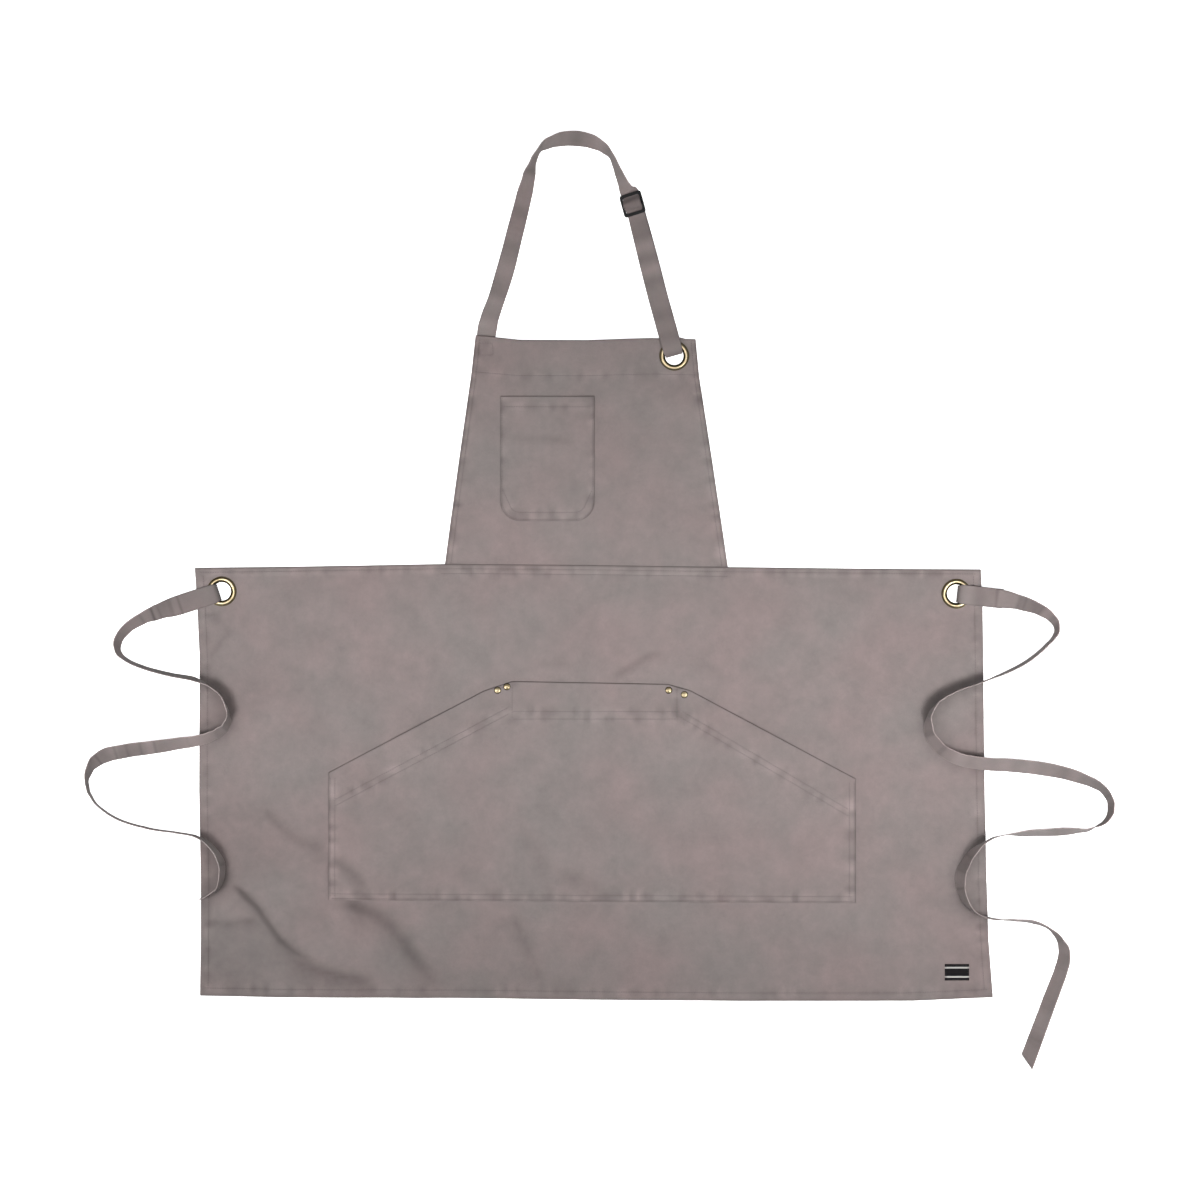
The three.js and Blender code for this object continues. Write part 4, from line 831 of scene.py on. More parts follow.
# Canvas panels
def between(sides, ends):
    def place(u, v):
        x = mixed(np.interp(v, sides["at"], sides["low"]), np.interp(v, sides["at"], sides["high"]), u)
        y = mixed(np.interp(u, ends["at"], ends["low"]), np.interp(u, ends["at"], ends["high"]), v)
        return x, y
    return place


def line_on(place, start, end, count):
    """A path across a panel, from one place to another given by shares of its width and height."""
    u, v = (np.linspace(a, b, count) for a, b in zip(start, end))
    return list(zip(*place(u, v)))


def hem_rise(d, width):
    return HEM_RISE * smooth((width + HEM_SLOPE / 2 - d) / HEM_SLOPE)


def sewn_panel(name, node, grid, under, wall, whole, paths, calm, tone, keep=None):
    """A canvas panel and its stitching: the weave runs with the frame, and seams carry painted shade in their
    grooves and painted light on their puckers.
    """
    x, y = grid
    relief = seam_relief(x, y, paths) * whole * calm
    points, faces, used = shell(x, y, under + EDGE_LIFT * (1 - whole), under + wall + relief, keep)
    # Painted shade and light follow the grooves and puckers of the seams
    toned = np.tile((tone + SEAM["tone"] * relief).ravel(), 2)[used]
    piece = new_piece(name + "_canvas", points, faces, canvas, node, SHARP["cloth"],
                      [("weave", points * MM), ("tone", toned)])
    height = surface_of(piece)
    sewn = stitch_piece(name + "_stitches", [stitch_ends(path, height) for path in paths], thread)
    return piece, sewn


def make_skirt():
    place = between(SKIRT_SIDES, SKIRT_ENDS)
    wide, high = SKIRT["wide"], SKIRT["high"]
    u, v = np.meshgrid(lines(SKIRT_ACROSS, wide) / wide, lines(SKIRT_UP, high) / high)
    side, low, up = SKIRT_SEAMS["edge"] / wide, *SKIRT_RUNS["up"]
    paths = [line_on(place, (at, low), (at, up), CURVE_STEPS["side"]) for at in (side, 1 - side)]
    level = {"bottom": SKIRT_SEAMS["edge"] / high, "top": 1 - SKIRT_SEAMS["top"] / high,
             "waist": 1 - SKIRT_SEAMS["waist"] / high}
    for key, at in level.items():
        left, right = SKIRT_RUNS[key]
        steps = CURVE_STEPS["side" if key == "waist" else "long"]
        paths.append(line_on(place, (left, at), (right, at), steps))
    x, y, keep = with_holes(*place(u, v), WAIST_EYES, EYELET_HOLE, HOLE_REACH)
    from_side, from_bottom, from_top = np.minimum(u, 1 - u) * wide, v * high, (1 - v) * high
    hems = ((from_side, "side_hem"), (from_bottom, "bottom_hem"), (from_top, "top_hem"))
    rise = np.maximum.reduce([hem_rise(away, SKIRT[hem]) for away, hem in hems])
    edge = np.minimum.reduce([from_side, from_bottom, from_top])
    whole = edge_round(np.minimum.reduce([from_side, from_bottom, from_top / TOP_SOFT]))
    # Painted shade in the creases, along the edges, beside the tie loops and in a lower corner, with painted
    # light past the creases
    tone = crease_painted_shading(SKIRT_CREASES, x, y) - HEM_PAINTED_SHADE * np.exp(-edge / HEM_SHADE_REACH)
    tone += tie_shade(x, y) - round_rise(SKIRT_SHADES, x, y)
    wall = (CLOTH + rise) * whole + EDGE_WALL
    calm = clear_of(x, y, WAIST_EYES, *CALM["eyelet_seam"])
    under = skirt_under(x, y)
    piece, sewn = sewn_panel("skirt", "skirt_panel", (x, y), under, wall, whole, paths, calm, tone, keep)


def make_bib():
    place = between(BIB_SIDES, BIB_ENDS)
    wide, high = BIB["wide"], BIB["high"]
    u, v = np.meshgrid(lines(BIB_ACROSS, wide) / wide, lines(BIB_UP, high) / high)
    near, deep = (inset / wide for inset in BIB_INSETS)
    low, up = BIB_UP_RUN
    ups = (near, deep, 1 - deep, 1 - near)
    paths = [line_on(place, (at, low), (at, up), CURVE_STEPS["side"]) for at in ups]
    left, right = BIB_HEM_RUN
    hem = (high - BIB["top_hem"]) / high
    paths += [line_on(place, (left, hem), (right, hem), CURVE_STEPS["hem"]), STRAP_BOX]
    x, y, keep = with_holes(*place(u, v), NECK_EYE, EYELET_HOLE, HOLE_REACH)
    from_side, from_top = np.minimum(u, 1 - u) * wide, (1 - v) * high
    rise = np.maximum(hem_rise(from_side, BIB["side_hem"]), hem_rise(from_top, BIB["top_hem"]))
    edge = np.minimum(from_side, from_top)
    whole = edge_round(edge)
    # Painted shade along the bib's edges, and painted light on its edge where the strap is sewn in
    bare = clear_of(x, y, [STRAP_JOINT], *CALM["joint"])
    tone = mixed(JOINT_PAINTED_LIGHT, -HEM_PAINTED_SHADE, bare) * np.exp(-edge / HEM_SHADE_REACH)
    wall = (CLOTH + rise) * whole + EDGE_WALL
    calm = clear_of(x, y, NECK_EYE, *CALM["eyelet_seam"])
    under = bib_under(x, y)
    piece, sewn = sewn_panel("bib", "bib_panel", (x, y), under, wall, whole, paths, calm, tone, keep)


def make_front_pocket():
    ends = FRONT_POCKET_ENDS
    left, right = ends["at"][0], ends["at"][-1]
    xs = left + lines(FRONT_ACROSS, right - left)
    top, bottom = np.interp(xs, ends["at"], ends["high"]), np.interp(xs, ends["at"], ends["low"])
    upper, lower = top[None] - lines(FRONT_DOWN)[:, None], bottom[None] + lines(FRONT_UP)[::-1, None]
    share = np.linspace(0, 1, FRONT_ROWS)[1:-1]
    y = np.concatenate([upper, mixed(upper[-1], lower[0], share[:, None]), lower])[::-1]
    x, mouth, base = (np.broadcast_to(row, y.shape) for row in (xs, top, bottom))
    low_x = np.linspace(left + POCKET_ENDS, right - POCKET_ENDS, CURVE_STEPS["front"])
    low_y = np.interp(low_x, ends["at"], ends["low"])
    near, deep = POCKET_INSETS
    paths = [list(zip(low_x, low_y + inset)) for inset in POCKET_INSETS]
    for px in (left + near, left + deep, right - deep, right - near):
        start = FRONT_SIDE_SEAMS["left" if px < 0 else "right"]
        paths.append([(px, start), (px, FRONT_SIDE_SEAMS["bottom"])])
    paths += [[(row["x0"], row["y0"]), (row["x1"], row["y1"])] for row in rows_of(FRONT_SEAMS)]
    flat_left, flat_right = FRONT_FLAT
    from_side = np.minimum(x - left, right - x)
    from_mouth = (mouth - y) * np.where((x > flat_left) & (x < flat_right), 1, FRONT_SLANT)
    edge = np.minimum.reduce([from_side, y - base, from_mouth])
    whole = edge_round(edge)
    facing = FACING_RISE * smooth((FACING_DEEP - (mouth - y)) / FACING_SLOPE)
    under = skirt_under(x, y) + POCKET_SEAT + crease_at(FRONT_POCKET_CREASES, x, y)
    under = under + round_rise(FRONT_POCKET_GAPES, x, y)
    # Painted shade round the pocket's edge and in its creases, with painted light past the creases
    tone = -RIM_PAINTED_SHADE * bell(edge / RIM_SHADE_REACH) * np.where(y - base > edge + SAME, 1, SEWN_LOW)
    tone += crease_painted_shading(FRONT_POCKET_CREASES, x, y)
    wall = (POCKET_WALL + facing) * whole + POCKET_EDGE
    calm = clear_of(x, y, RIVETS.values(), *CALM["rivet_seam"])
    piece, sewn = sewn_panel("front_pocket", "front_pocket", (x, y), under, wall, whole, paths, calm, tone)


def make_chest_pocket():
    left, right, bottom, top, corner, hem = (CHEST_POCKET[k] for k in
                                             ("left", "right", "bottom", "top", "corner", "hem"))

    def base_at(x, inset=0.0):
        round_by = corner - inset
        into = np.maximum(0, round_by - np.minimum(x - left - inset, right - inset - x))
        return bottom + inset + round_by - np.sqrt(np.maximum(0, round_by**2 - into**2))

    def inner_line(inset, first, steps):
        curve = left + corner - (corner - inset) * np.cos(np.linspace(first, np.pi / 2, steps))
        across = np.concatenate([curve, (left + right) - curve[::-1]])
        return list(zip(across, base_at(across, inset)))

    xs = left + lines(CHEST_ACROSS, right - left)
    y = mixed(base_at(xs)[None], top, lines(CHEST_UP)[:, None])
    x = np.broadcast_to(xs, y.shape)
    inset = CHEST_SEAMS["inset"]
    seam_top, deep_top = top - CHEST_SEAMS["top"], bottom + CHEST_SEAMS["deep_top"]
    low_line = inner_line(inset, 0.0, CHEST_SEAMS["steps"])
    deep_line = inner_line(CHEST_SEAMS["deep"], CHEST_SEAMS["deep_from"], CHEST_SEAMS["deep_steps"])
    ends = (left + POCKET_ENDS, right - POCKET_ENDS)
    paths = [[(left + inset, seam_top), *low_line, (right - inset, seam_top)],
             [(ends[0], deep_top), *deep_line, (ends[1], deep_top)],
             [(end, top - hem) for end in ends]]
    base_x = np.linspace(left, right, CURVE_STEPS["chest"])
    outline = [(left, top), (left, bottom + corner), *zip(base_x, base_at(base_x)), (right, bottom + corner),
               (right, top), (left, top)]
    edge = to_path(x, y, outline)[0]
    whole = edge_round(edge)
    under = bib_under(x, y) + POCKET_SEAT + crease_at(CHEST_POCKET_CREASES, x, y)
    under = under + round_rise(CHEST_POCKET_GAPES, x, y)
    # Painted shade round the pocket's edge and in its crease, with painted light past the crease
    tone = crease_painted_shading(CHEST_POCKET_CREASES, x, y) - CHEST_RIM_PAINTED_SHADE * bell(edge / RIM_SHADE_REACH)
    wall = POCKET_WALL * whole + POCKET_EDGE
    piece, sewn = sewn_panel("chest_pocket", "chest_pocket", (x, y), under, wall, whole, paths, 1.0, tone)


# Tapes
def through_eyelet(eye, grip):
    """Rows of a tape that dips through an eyelet, from over the front flange to under the back one."""
    over = EYELET_LIFT + grip + EYELET["dome"] + 2 * GAP
    rows = []
    for dip in rows_of(EYELET_DIP):
        x, y = (eye[axis] + (eye["fold"] + dip["out"]) * out for axis, out in zip("xy", eye["out"]))
        rest = over * dip["share"] + dip["rise"]
        rows.append({"x": x, "y": y, "rest": rest, "roll": 0.0, "wide": dip["wide"]})
    return rows


def on_leg(down, rest, aside=0.0):
    """A place on the right leg of the neck strap, rolled about the leg's line together with the slider."""
    roll = np.interp(down, LEG_ROLLS["at"], LEG_ROLLS["roll"])
    turn = math.radians(roll)
    aside = aside - math.sin(turn) * (rest + TAPE_THICK / 2 - SLIDER_MIDDLE)
    spot = np.array([SLIDER["x"], SLIDER["y"], 0]) + down * LEG + aside * LEG_SIDE
    return {"x": spot[0], "y": spot[1], "rest": rest * math.cos(turn), "roll": roll, "wide": TAPE_WIDE + GAP,
            "across": LEG_SIDE * math.cos(turn) + UP * math.sin(turn)}


def curve_through(points, counts):
    """A centripetal curve through the points, with a count of samples on each stretch."""
    p = np.concatenate([[2 * points[0] - points[1]], points, [2 * points[-1] - points[-2]]])
    found = []
    for k, count in enumerate(counts):
        p0, p1, p2, p3 = p[k:k + 4]
        d0, d1, d2 = (max(TINY, np.linalg.norm(b - a)) ** 0.5 for a, b in ((p0, p1), (p1, p2), (p2, p3)))
        t1 = ((p1 - p0) / d0 - (p2 - p0) / (d0 + d1) + (p2 - p1) / d1) * d1
        t2 = ((p2 - p1) / d1 - (p3 - p1) / (d1 + d2) + (p3 - p2) / d2) * d1
        s = (np.arange(count) / count)[:, None]
        found.append(p1 + t1 * s + (3 * (p2 - p1) - 2 * t1 - t2) * s**2 + (2 * (p1 - p2) + t1 + t2) * s**3)
    return np.concatenate([*found, [points[-1]]])


def tape_frames(rows):
    """Middle line, across and face directions, width and way along of a tape at close stations."""
    spots = np.array([[row["x"], row["y"], row["rest"]] for row in rows])
    gaps = np.linalg.norm(np.diff(spots, axis=0), axis=1)
    counts = np.maximum(2, np.ceil(gaps / TAPE_STEP)).astype(int)
    middle = curve_through(spots, counts)
    stretch = np.concatenate([np.repeat(np.arange(len(counts)), counts), [len(counts) - 1]])
    share = np.concatenate([np.arange(n) / n for n in counts] + [[1.0]])
    eased = smooth(share)
    first, second = [rows[k] for k in stretch], [rows[k + 1] for k in stretch]
    roll = np.radians([mixed(a["roll"], b["roll"], t) for a, b, t in zip(first, second, eased)])
    wide = np.array([mixed(a.get("wide", TAPE_WIDE), b.get("wide", TAPE_WIDE), t)
                     for a, b, t in zip(first, second, share)])
    half = wide / 2 * abs(np.sin(roll)) + TAPE_THICK / 2 * abs(np.cos(roll))
    middle[:, 2] = np.maximum(0, middle[:, 2]) + half
    count = len(middle)
    places = np.arange(count)
    ahead = middle[np.minimum(places + 1, count - 1)] - middle[np.maximum(places - 1, 0)]
    ahead /= np.linalg.norm(ahead, axis=1, keepdims=True)
    across, face = np.zeros_like(middle), np.zeros_like(middle)
    side = np.zeros(3)
    for k in range(count):
        level = np.cross(UP, ahead[k])
        if np.linalg.norm(level) > STEEP:
            side = level / np.linalg.norm(level)
        wanted = side * math.cos(roll[k]) + np.cross(ahead[k], side) * math.sin(roll[k])
        if "across" in first[k] and "across" in second[k]:
            wanted = mixed(first[k]["across"], second[k]["across"], eased[k])
        wanted = wanted - ahead[k] * np.dot(wanted, ahead[k])
        wanted /= np.linalg.norm(wanted)
        across[k] = -wanted if k and np.dot(wanted, across[k - 1]) < 0 else wanted
        face[k] = np.cross(ahead[k], across[k])
    way = np.concatenate([[0], np.cumsum(np.linalg.norm(np.diff(middle, axis=0), axis=1))])
    return {"middle": middle, "ahead": ahead, "across": across, "face": face, "wide": wide, "way": way}


def tape_tone(frames, around, bends, free, marks, pale, seed):
    """A tape's tone: painted highlight on its standing edges and painted shade on its flat ones, painted shade
    at dips, ripples and creases, dark seams, uneven patches, and painted light along it and where it stands
    up.
    """
    way = frames["way"]
    upright = smooth((abs(frames["across"][:, 2]) - UPRIGHT) / UPRIGHT_RUN)
    rims = bell((0.5 - abs(around)) * TAPE_WIDE / TAPE_EDGE)
    dipping = smooth((abs(frames["ahead"][:, 2]) - DIPPING) / DIPPING_RUN)
    dips = TAPE_DIP_SHADE * (bell((way[:, None] - way) / TAPE_FOLD_REACH) * dipping).max(1)
    dark = dips + RIPPLE["dark"] * free * bell(bends / RIPPLE["narrow"])
    patches = TAPE_PATCH * noise(way, TAPE_PATCH_ROW, TAPE_PATCH_SIZE, seed)
    seams = sum((bell((way - mark) / TAPE_SEAM) for mark in marks), np.zeros_like(way))
    paler = np.interp(way, pale["way"], pale["share"]) + UPRIGHT_PAINTED_LIGHT * upright
    along = paler + patches - TAPE_SEAM_DARK_FOLD_SHADE * seams - dark
    return (mixed(-TAPE_EDGE_SHADE, TAPE_EDGE_HIGHLIGHT, upright)[:, None] * rims + along[:, None]).ravel()


def make_tape(node, rows, pale, free_between, skew=0.0, marks=()):
    frames = tape_frames(rows)
    seed = TAPE_SEEDS[node]
    at, thick = TAPE_SECTION["at"], TAPE_SECTION["thick"]
    around = np.concatenate([at, at[::-1]])
    lift = np.concatenate([-thick, thick[::-1]]) * TAPE_THICK / 2
    way, wide = frames["way"], frames["wide"]
    free_from, free_to = free_between
    free = smooth((way - free_from) / TAPE_FREE_RUN) * smooth((free_to - way) / TAPE_FREE_RUN)
    bends = noise(way, 0.0, RIPPLE["cross_size"], seed)
    turning = sum(np.linalg.norm(np.gradient(frames[key], way, axis=0), axis=1) for key in ("ahead", "across"))
    evened = np.convolve(turning, np.ones(RIPPLE["even"]) / RIPPLE["even"], "same")
    free = free * mixed(RIPPLE["rest"], 1, smooth((evened - RIPPLE["straight"]) / RIPPLE["straight"]))
    crossing = RIPPLE["cross"] * abs(bends)
    waves = noise(way[:, None], np.sign(around) * RIPPLE["apart"], RIPPLE["edge_size"], seed + 1)
    edges = RIPPLE["edge"] * waves * abs(2 * around)
    ripple = (crossing[:, None] + edges) * free[:, None]
    slant = skew * np.clip(1 - (way[-1] - way) / CUT_RUN, 0, 1)
    points = (frames["middle"][:, None] + frames["across"][:, None] * (around * wide[:, None])[..., None]
              + frames["face"][:, None] * (lift + ripple)[..., None]
              + frames["ahead"][:, None] * (around * slant[:, None])[..., None])
    points[..., 2] = np.maximum(points[..., 2], TAPE_FLOOR)
    count, ring = points.shape[:2]
    faces = []
    for k in range(count - 1):
        a, b = k * ring, (k + 1) * ring
        faces += [(a + m, a + (m + 1) % ring, b + (m + 1) % ring, b + m) for m in range(ring)]
    faces.append(tuple(range(ring))[::-1])
    faces.append(tuple(range((count - 1) * ring, count * ring)))
    weave = np.stack([np.repeat(way, ring), (around * wide[:, None]).ravel(), np.tile(lift, count)], -1) * MM
    tone = tape_tone(frames, around, bends, free, marks, pale, seed + 2)
    piece = new_piece(node + "_tape", points.reshape(-1, 3), faces, tape_cloth, node, SHARP["tape"],
                      [("weave", weave), ("tone", tone)])
    return frames


def tape_stitches(frames, corners, lift):
    """Stitches along a path given by the way along a tape and the place across it."""
    ends = []
    for way, across in stitch_places(corners, centred=False):
        middle, side, face = (np.stack([np.interp(way, frames["way"], axis) for axis in frames[key].T], -1)
                              for key in ("middle", "across", "face"))
        ends.append((middle + side * across[:, None] + face * lift, face * np.sign(lift)))
    return ends[0][0], ends[1][0], ends[0][1]


def make_neck_strap():
    left = rows_of(NECK_LEFT_LEG)
    for row, wide in zip(left, NECK_SEWN_WIDE):
        row["wide"] = wide
    downs = np.linspace(OVER_LEG["at"][0], OVER_LEG["at"][-1], LEG_STEPS + 1)
    front = [on_leg(**row) for row in rows_of(OVER_SLIDER)]
    front += [on_leg(down, np.interp(down, OVER_LEG["at"], OVER_LEG["rest"])) for down in downs]
    behind = [on_leg(down, 0.0) for down in downs[::-1]] + [on_leg(*BEHIND_SLIDER)]
    for angle in np.linspace(0, np.pi, WRAP_STEPS):
        behind.append(on_leg(-WRAP_RADIUS * math.sin(angle),
                             SLIDER_MIDDLE - WRAP_RADIUS * math.cos(angle) - TAPE_THICK / 2))
    behind.append(on_leg(SLIDER["bar"] / 2, SLIDER_MIDDLE + WRAP_RADIUS - TAPE_THICK / 2))
    rows = left + front + through_eyelet(NECK, NECK_GRIP) + behind
    make_tape("neck_strap", rows, STRAP_PAINTED_LIGHT, STRAP_FREE)


def make_tie(node, eye, route, skew, folds, pale):
    """A waist tie with its sewn end, and a box of stitches on the side that faces that end."""
    x, y = (eye[axis] + SEWN_END * out for axis, out in zip("xy", eye["out"]))
    under = {"x": x, "y": y, "rest": 0.0, "roll": 0.0}
    rows = [under, *through_eyelet(eye, WAIST_GRIP)[::-1], *rows_of(route)]
    start, end, half = SEWN_BOX["start"], SEWN_BOX["end"], SEWN_BOX["half"]
    marks = (start, end, *folds)
    frames = make_tape(node, rows, pale, (start, math.inf), skew, marks)
    box = [(start, -half), (end, -half), (end, half), (start, half), (start, -half), (end, half)]
    lower = -np.sign(np.interp(start, frames["way"], frames["face"][:, 2]))
    stitches = tape_stitches(frames, box, lower * TAPE_THICK / 2)
    stitch_piece(node + "_stitches", [stitches], thread)


# Brass, plastic and label
def turned(node, profile, tones, sides, place):
    """A brass ring or button turned from a profile of radius and height, with a tone of painted shade and
    highlight for each place of it.
    """
    angles = np.arange(sides) / sides * 2 * np.pi
    points, rings, tone = [], [], []
    for (radius, z), shaded in zip(profile, tones):
        ring = [(radius * math.cos(a), radius * math.sin(a), z) for a in angles] if radius else [(0, 0, z)]
        start = len(points)
        rings.append([start + k % len(ring) for k in range(sides)])
        points += ring
        tone += [shaded] * len(ring)
    faces = []
    closed = rings + rings[:1] if profile[0][0] else rings
    for low, high in zip(closed, closed[1:]):
        for k in range(sides):
            n = (k + 1) % sides
            faces.append(tuple(dict.fromkeys([low[k], low[n], high[n], high[k]])))
    new_piece(node + "_brass", np.array(points) + np.array(place), faces, brass, node, SHARP["brass"],
              [("tone", np.array(tone))])


def arc(start, end, middle, radius_r, radius_z, count):
    angles = np.linspace(math.radians(start), math.radians(end), count)
    return [(middle[0] + radius_r * math.cos(a), middle[1] + radius_z * math.sin(a)) for a in angles]


def make_eyelet(node, eye, grip):
    """Rolled crest with a low lip outside it and a throat within, over a back washer with a rounded edge."""
    bore, crest, lip, back = (EYELET[k] for k in ("bore", "crest", "lip", "back"))
    flange, chamfer = EYELET["flange"], EYELET["chamfer"]
    seat, face, bottom = bore + EYELET["barrel"], grip + GAP, -GAP - flange
    half, middle = (crest - EYELET["throat"]) / 2, (crest + EYELET["throat"]) / 2
    profile = [(seat, face), (lip, face), (lip, face + EYELET["lip_high"]), (crest, face + EYELET["shoulder"])]
    profile += arc(*EYELET["arc"], (middle, face), half, EYELET["dome"], EYELET["arc_steps"])
    profile += [(bore + chamfer, face - EYELET["throat_drop"]), (bore, face - EYELET["throat_low"])]
    profile += [(bore, bottom + chamfer), (bore + chamfer, bottom), (back - chamfer, bottom)]
    edge = (back - chamfer, bottom + flange / 2)
    profile += arc(-90, 90, edge, chamfer, flange / 2, EYELET["chamfer_steps"])
    profile += [(seat, -GAP)]
    # Painted highlight on the crest, and painted shade on its feet, the throat and the back
    aside = [abs(r - middle) / half if z > face else 1.0 for r, z in profile]
    tones = [CREST_PAINTED_HIGHLIGHT - FOOT_PAINTED_SHADE * smooth((u - CREST_HALF) / CREST_FADE) for u in aside]
    turned(node, profile, tones, EYELET["sides"], (eye["x"], eye["y"], EYELET_LIFT))


def shifted(points, radius, z):
    return [(radius + row["radius"], z + row["z"]) for row in rows_of(points)]


def make_rivet(node, x, y):
    """Domed cap with a set-off rim and a dimple, over a stem and a back burr."""
    cap, dome, stem = (RIVET[k] for k in ("cap", "dome", "stem"))
    seat = RIVET_LIFT + CLOTH + GAP + POCKET_WALL + GAP
    profile = shifted(RIVET_BACK, 0, 0) + shifted(RIVET_BURR, RIVET["burr"], 0)
    profile += [(stem, RIVET["burr_thick"]), (stem, seat + RIVET_RIM["z"][0])] + shifted(RIVET_RIM, cap, seat)
    foot, rim = cap + RIVET_RIM["radius"][-1], RIVET_RIM["z"][-1]
    profile += [(r, seat + rim + (dome - rim) * math.cos(r / foot * math.pi / 2))
                for r in np.linspace(cap - RIVET["brim"], RIVET["dimple"], RIVET["steps"])]
    profile += shifted(RIVET_DIMPLE, 0, seat + dome)
    # Painted shade round the rim and below the cap; the cap itself is a darker brass
    tones = [-FOOT_PAINTED_SHADE if r > cap - RIVET["painted_shade_rim"] or z < seat else -CAP_DARK for r, z in profile]
    turned(node, profile, tones, RIVET["sides"], (x, y, 0))


def rounded(half_x, half_y, corner, middle_y=0.0, steps=8):
    """Points round a rectangle with round corners, anticlockwise."""
    points = []
    for k, (sx, sy) in enumerate(((1, -1), (1, 1), (-1, 1), (-1, -1))):
        for a in np.linspace(0, math.pi / 2, steps + 1) + (k - 1) * math.pi / 2:
            points.append((sx * (half_x - corner) + corner * math.cos(a),
                           middle_y + sy * (half_y - corner) + corner * math.sin(a)))
    return points


def make_slider():
    """Three-bar slider with moulded round edges, square to the leg and rolled with it."""
    step = SLIDER["bar"] + SLIDER["slot"]
    soft = SLIDER["round"]
    outlines = [rounded(SLIDER["across"] / 2, SLIDER_LONG / 2, SLIDER["corner"])]
    for middle in (-step / 2, step / 2):
        outlines.append(rounded(TAPE_WIDE / 2 + GAP, SLIDER["slot"] / 2, SLIDER["slot_corner"], middle))
    curve = bpy.data.curves.new("slider_outline", "CURVE")
    curve.dimensions, curve.fill_mode = "2D", "BOTH"
    curve.extrude = (SLIDER["thick"] / 2 - soft) * MM
    curve.bevel_depth, curve.offset, curve.bevel_resolution = soft * MM, -soft * MM, SLIDER["round_steps"]
    for outline in outlines:
        spline = curve.splines.new("POLY")
        spline.points.add(len(outline) - 1)
        spline.use_cyclic_u = True
        for point, (px, py) in zip(spline.points, outline):
            point.co = (px * MM, py * MM, 0, 1)
    made = bpy.data.objects.new("slider_outline", curve)
    bpy.context.scene.collection.objects.link(made)
    bpy.context.view_layer.update()
    mesh = bpy.data.meshes.new_from_object(made.evaluated_get(bpy.context.evaluated_depsgraph_get()))
    bpy.data.objects.remove(made)
    turn = math.radians(np.interp(0, LEG_ROLLS["at"], LEG_ROLLS["roll"]))
    across = LEG_SIDE * math.cos(turn) + UP * math.sin(turn)
    height = TAPE_WIDE / 2 * math.sin(turn) + SLIDER_MIDDLE * math.cos(turn)
    basis = np.stack([across, -LEG, np.cross(across, -LEG)], -1)
    local = np.array([v.co for v in mesh.vertices]) / MM
    points = local @ basis.T + np.array([SLIDER["x"], SLIDER["y"], height])
    faces = [tuple(p.vertices) for p in mesh.polygons]
    new_piece("strap_slider_plastic", points, faces, black_plastic, "strap_slider",
              SHARP["plastic"])


def make_label():
    """Woven label with pressed edges, sewn down all round."""
    wide, high, inset = LABEL["wide"], LABEL["high"], LABEL["inset"]
    left, low = LABEL["x"] - wide / 2, LABEL["y"] - high / 2
    x, y = np.meshgrid(left + lines(LABEL_LINES, wide), low + lines(LABEL_LINES, high))
    edge = np.minimum(wide / 2 - abs(x - LABEL["x"]), high / 2 - abs(y - LABEL["y"]))
    near, far, bottom, top = left + inset, left + wide - inset, low + inset, low + high - inset
    path = [(near, bottom), (far, bottom), (far, top), (near, top), (near, bottom)]
    under = np.full_like(x, CLOTH + GAP + POCKET_EDGE)
    whole = edge_round(edge)
    over = under + LABEL["thick"] * whole + LABEL["edge"] + LABEL["relief"] * seam_relief(x, y, [path]) * whole
    points, faces, _ = shell(x, y, under, over)
    piece = new_piece("woven_label_cloth", points, faces, label_cloth, "woven_label", SHARP["cloth"],
                      [("weave", points * MM)])
    sewn = stitch_piece("woven_label_stitches", [stitch_ends(path, surface_of(piece))], black_thread)


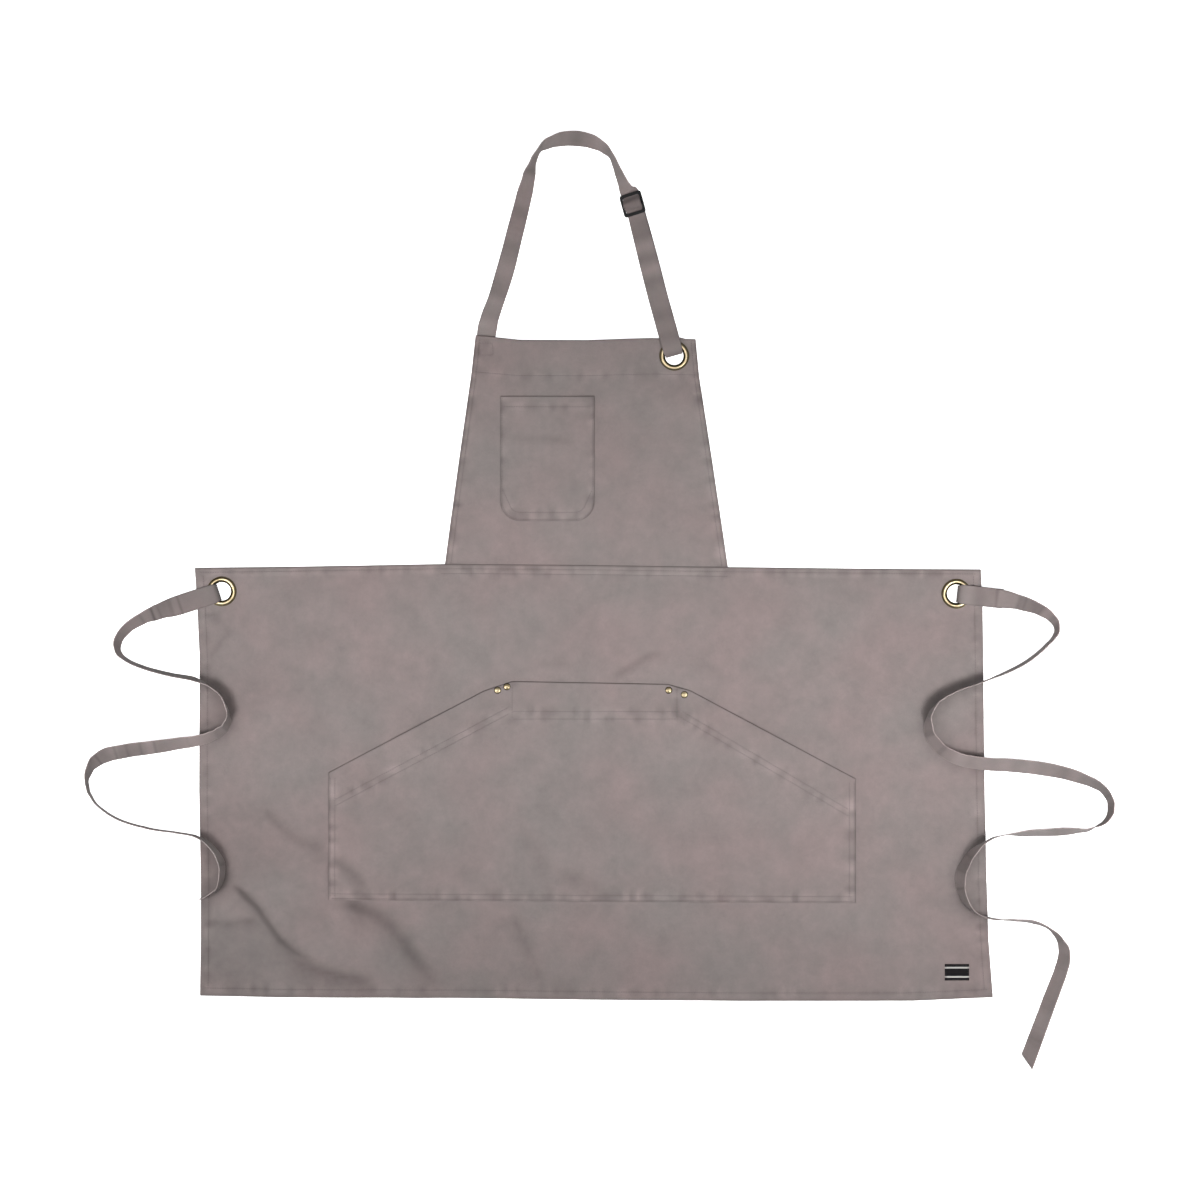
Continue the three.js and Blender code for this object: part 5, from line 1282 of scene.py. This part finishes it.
# Stage
def make_floor():
    mesh = bpy.data.meshes.new("floor")
    half = FLOOR_HALF * MM
    corners = [(-half, -half), (half, -half), (half, half), (-half, half)]
    mesh.from_pydata([(x, y, -FLOOR_DROP * MM) for x, y in corners], [], [(0, 1, 2, 3)])
    floor = bpy.data.objects.new("floor", mesh)
    bpy.context.scene.collection.objects.link(floor)
    material, tree, shader = new_material("floor_paper", 0.9, emission_color=(1, 1, 1, 1),
                                          emission_strength=FLOOR_GLOW)
    mottle = grain(tree, add(tree, "TexCoord").outputs["Object"], 3.0, 2.0)
    dress(tree, shader, ramp(tree, mottle, (0.3, shade(FLOOR_COLOR, 0.99)), (0.7, FLOOR_COLOR)))
    mesh.materials.append(material)
    floor.visible_diffuse = False


def make_stage():
    make_floor()
    for row in LIGHTS:
        light = bpy.data.lights.new(row["name"], "AREA")
        light.shape, light.energy = "RECTANGLE", row["power"]
        light.size, light.size_y = row["size"]
        light.spread = math.radians(row["spread"])
        lamp = bpy.data.objects.new(row["name"], light)
        lamp.location = Vector(row["place"]) * MM
        lamp.rotation_euler = (Vector(row["aim"]) - Vector(row["place"])).to_track_quat("-Z", "Y").to_euler()
        lamp.visible_camera = False
        bpy.context.scene.collection.objects.link(lamp)
    world = bpy.data.worlds.new("studio")
    world.use_nodes = True
    background = world.node_tree.nodes["Background"]
    background.inputs["Color"].default_value = (1, 1, 1, 1)
    background.inputs["Strength"].default_value = WORLD_STRENGTH
    bpy.context.scene.world = world
    lens = bpy.data.cameras.new("camera")
    lens.sensor_width = SENSOR
    lens.lens = lens.sensor_width * CAMERA_HIGH / VIEW_WIDE
    lens.clip_end = FARTHEST
    camera = bpy.data.objects.new("camera", lens)
    camera.location = (0, 0, CAMERA_HIGH * MM)
    bpy.context.scene.collection.objects.link(camera)
    bpy.context.scene.camera = camera
    bpy.context.scene.view_settings.view_transform = "Standard"


make_stage()
make_skirt()
make_bib()
make_front_pocket()
make_chest_pocket()
make_neck_strap()
for name, tie in TIES.items():
    make_tie(name, **tie)
for name, (eye, grip) in EYELETS.items():
    make_eyelet(name, eye, grip)
for name, spot in RIVETS.items():
    make_rivet(name, *spot)
make_slider()
make_label()
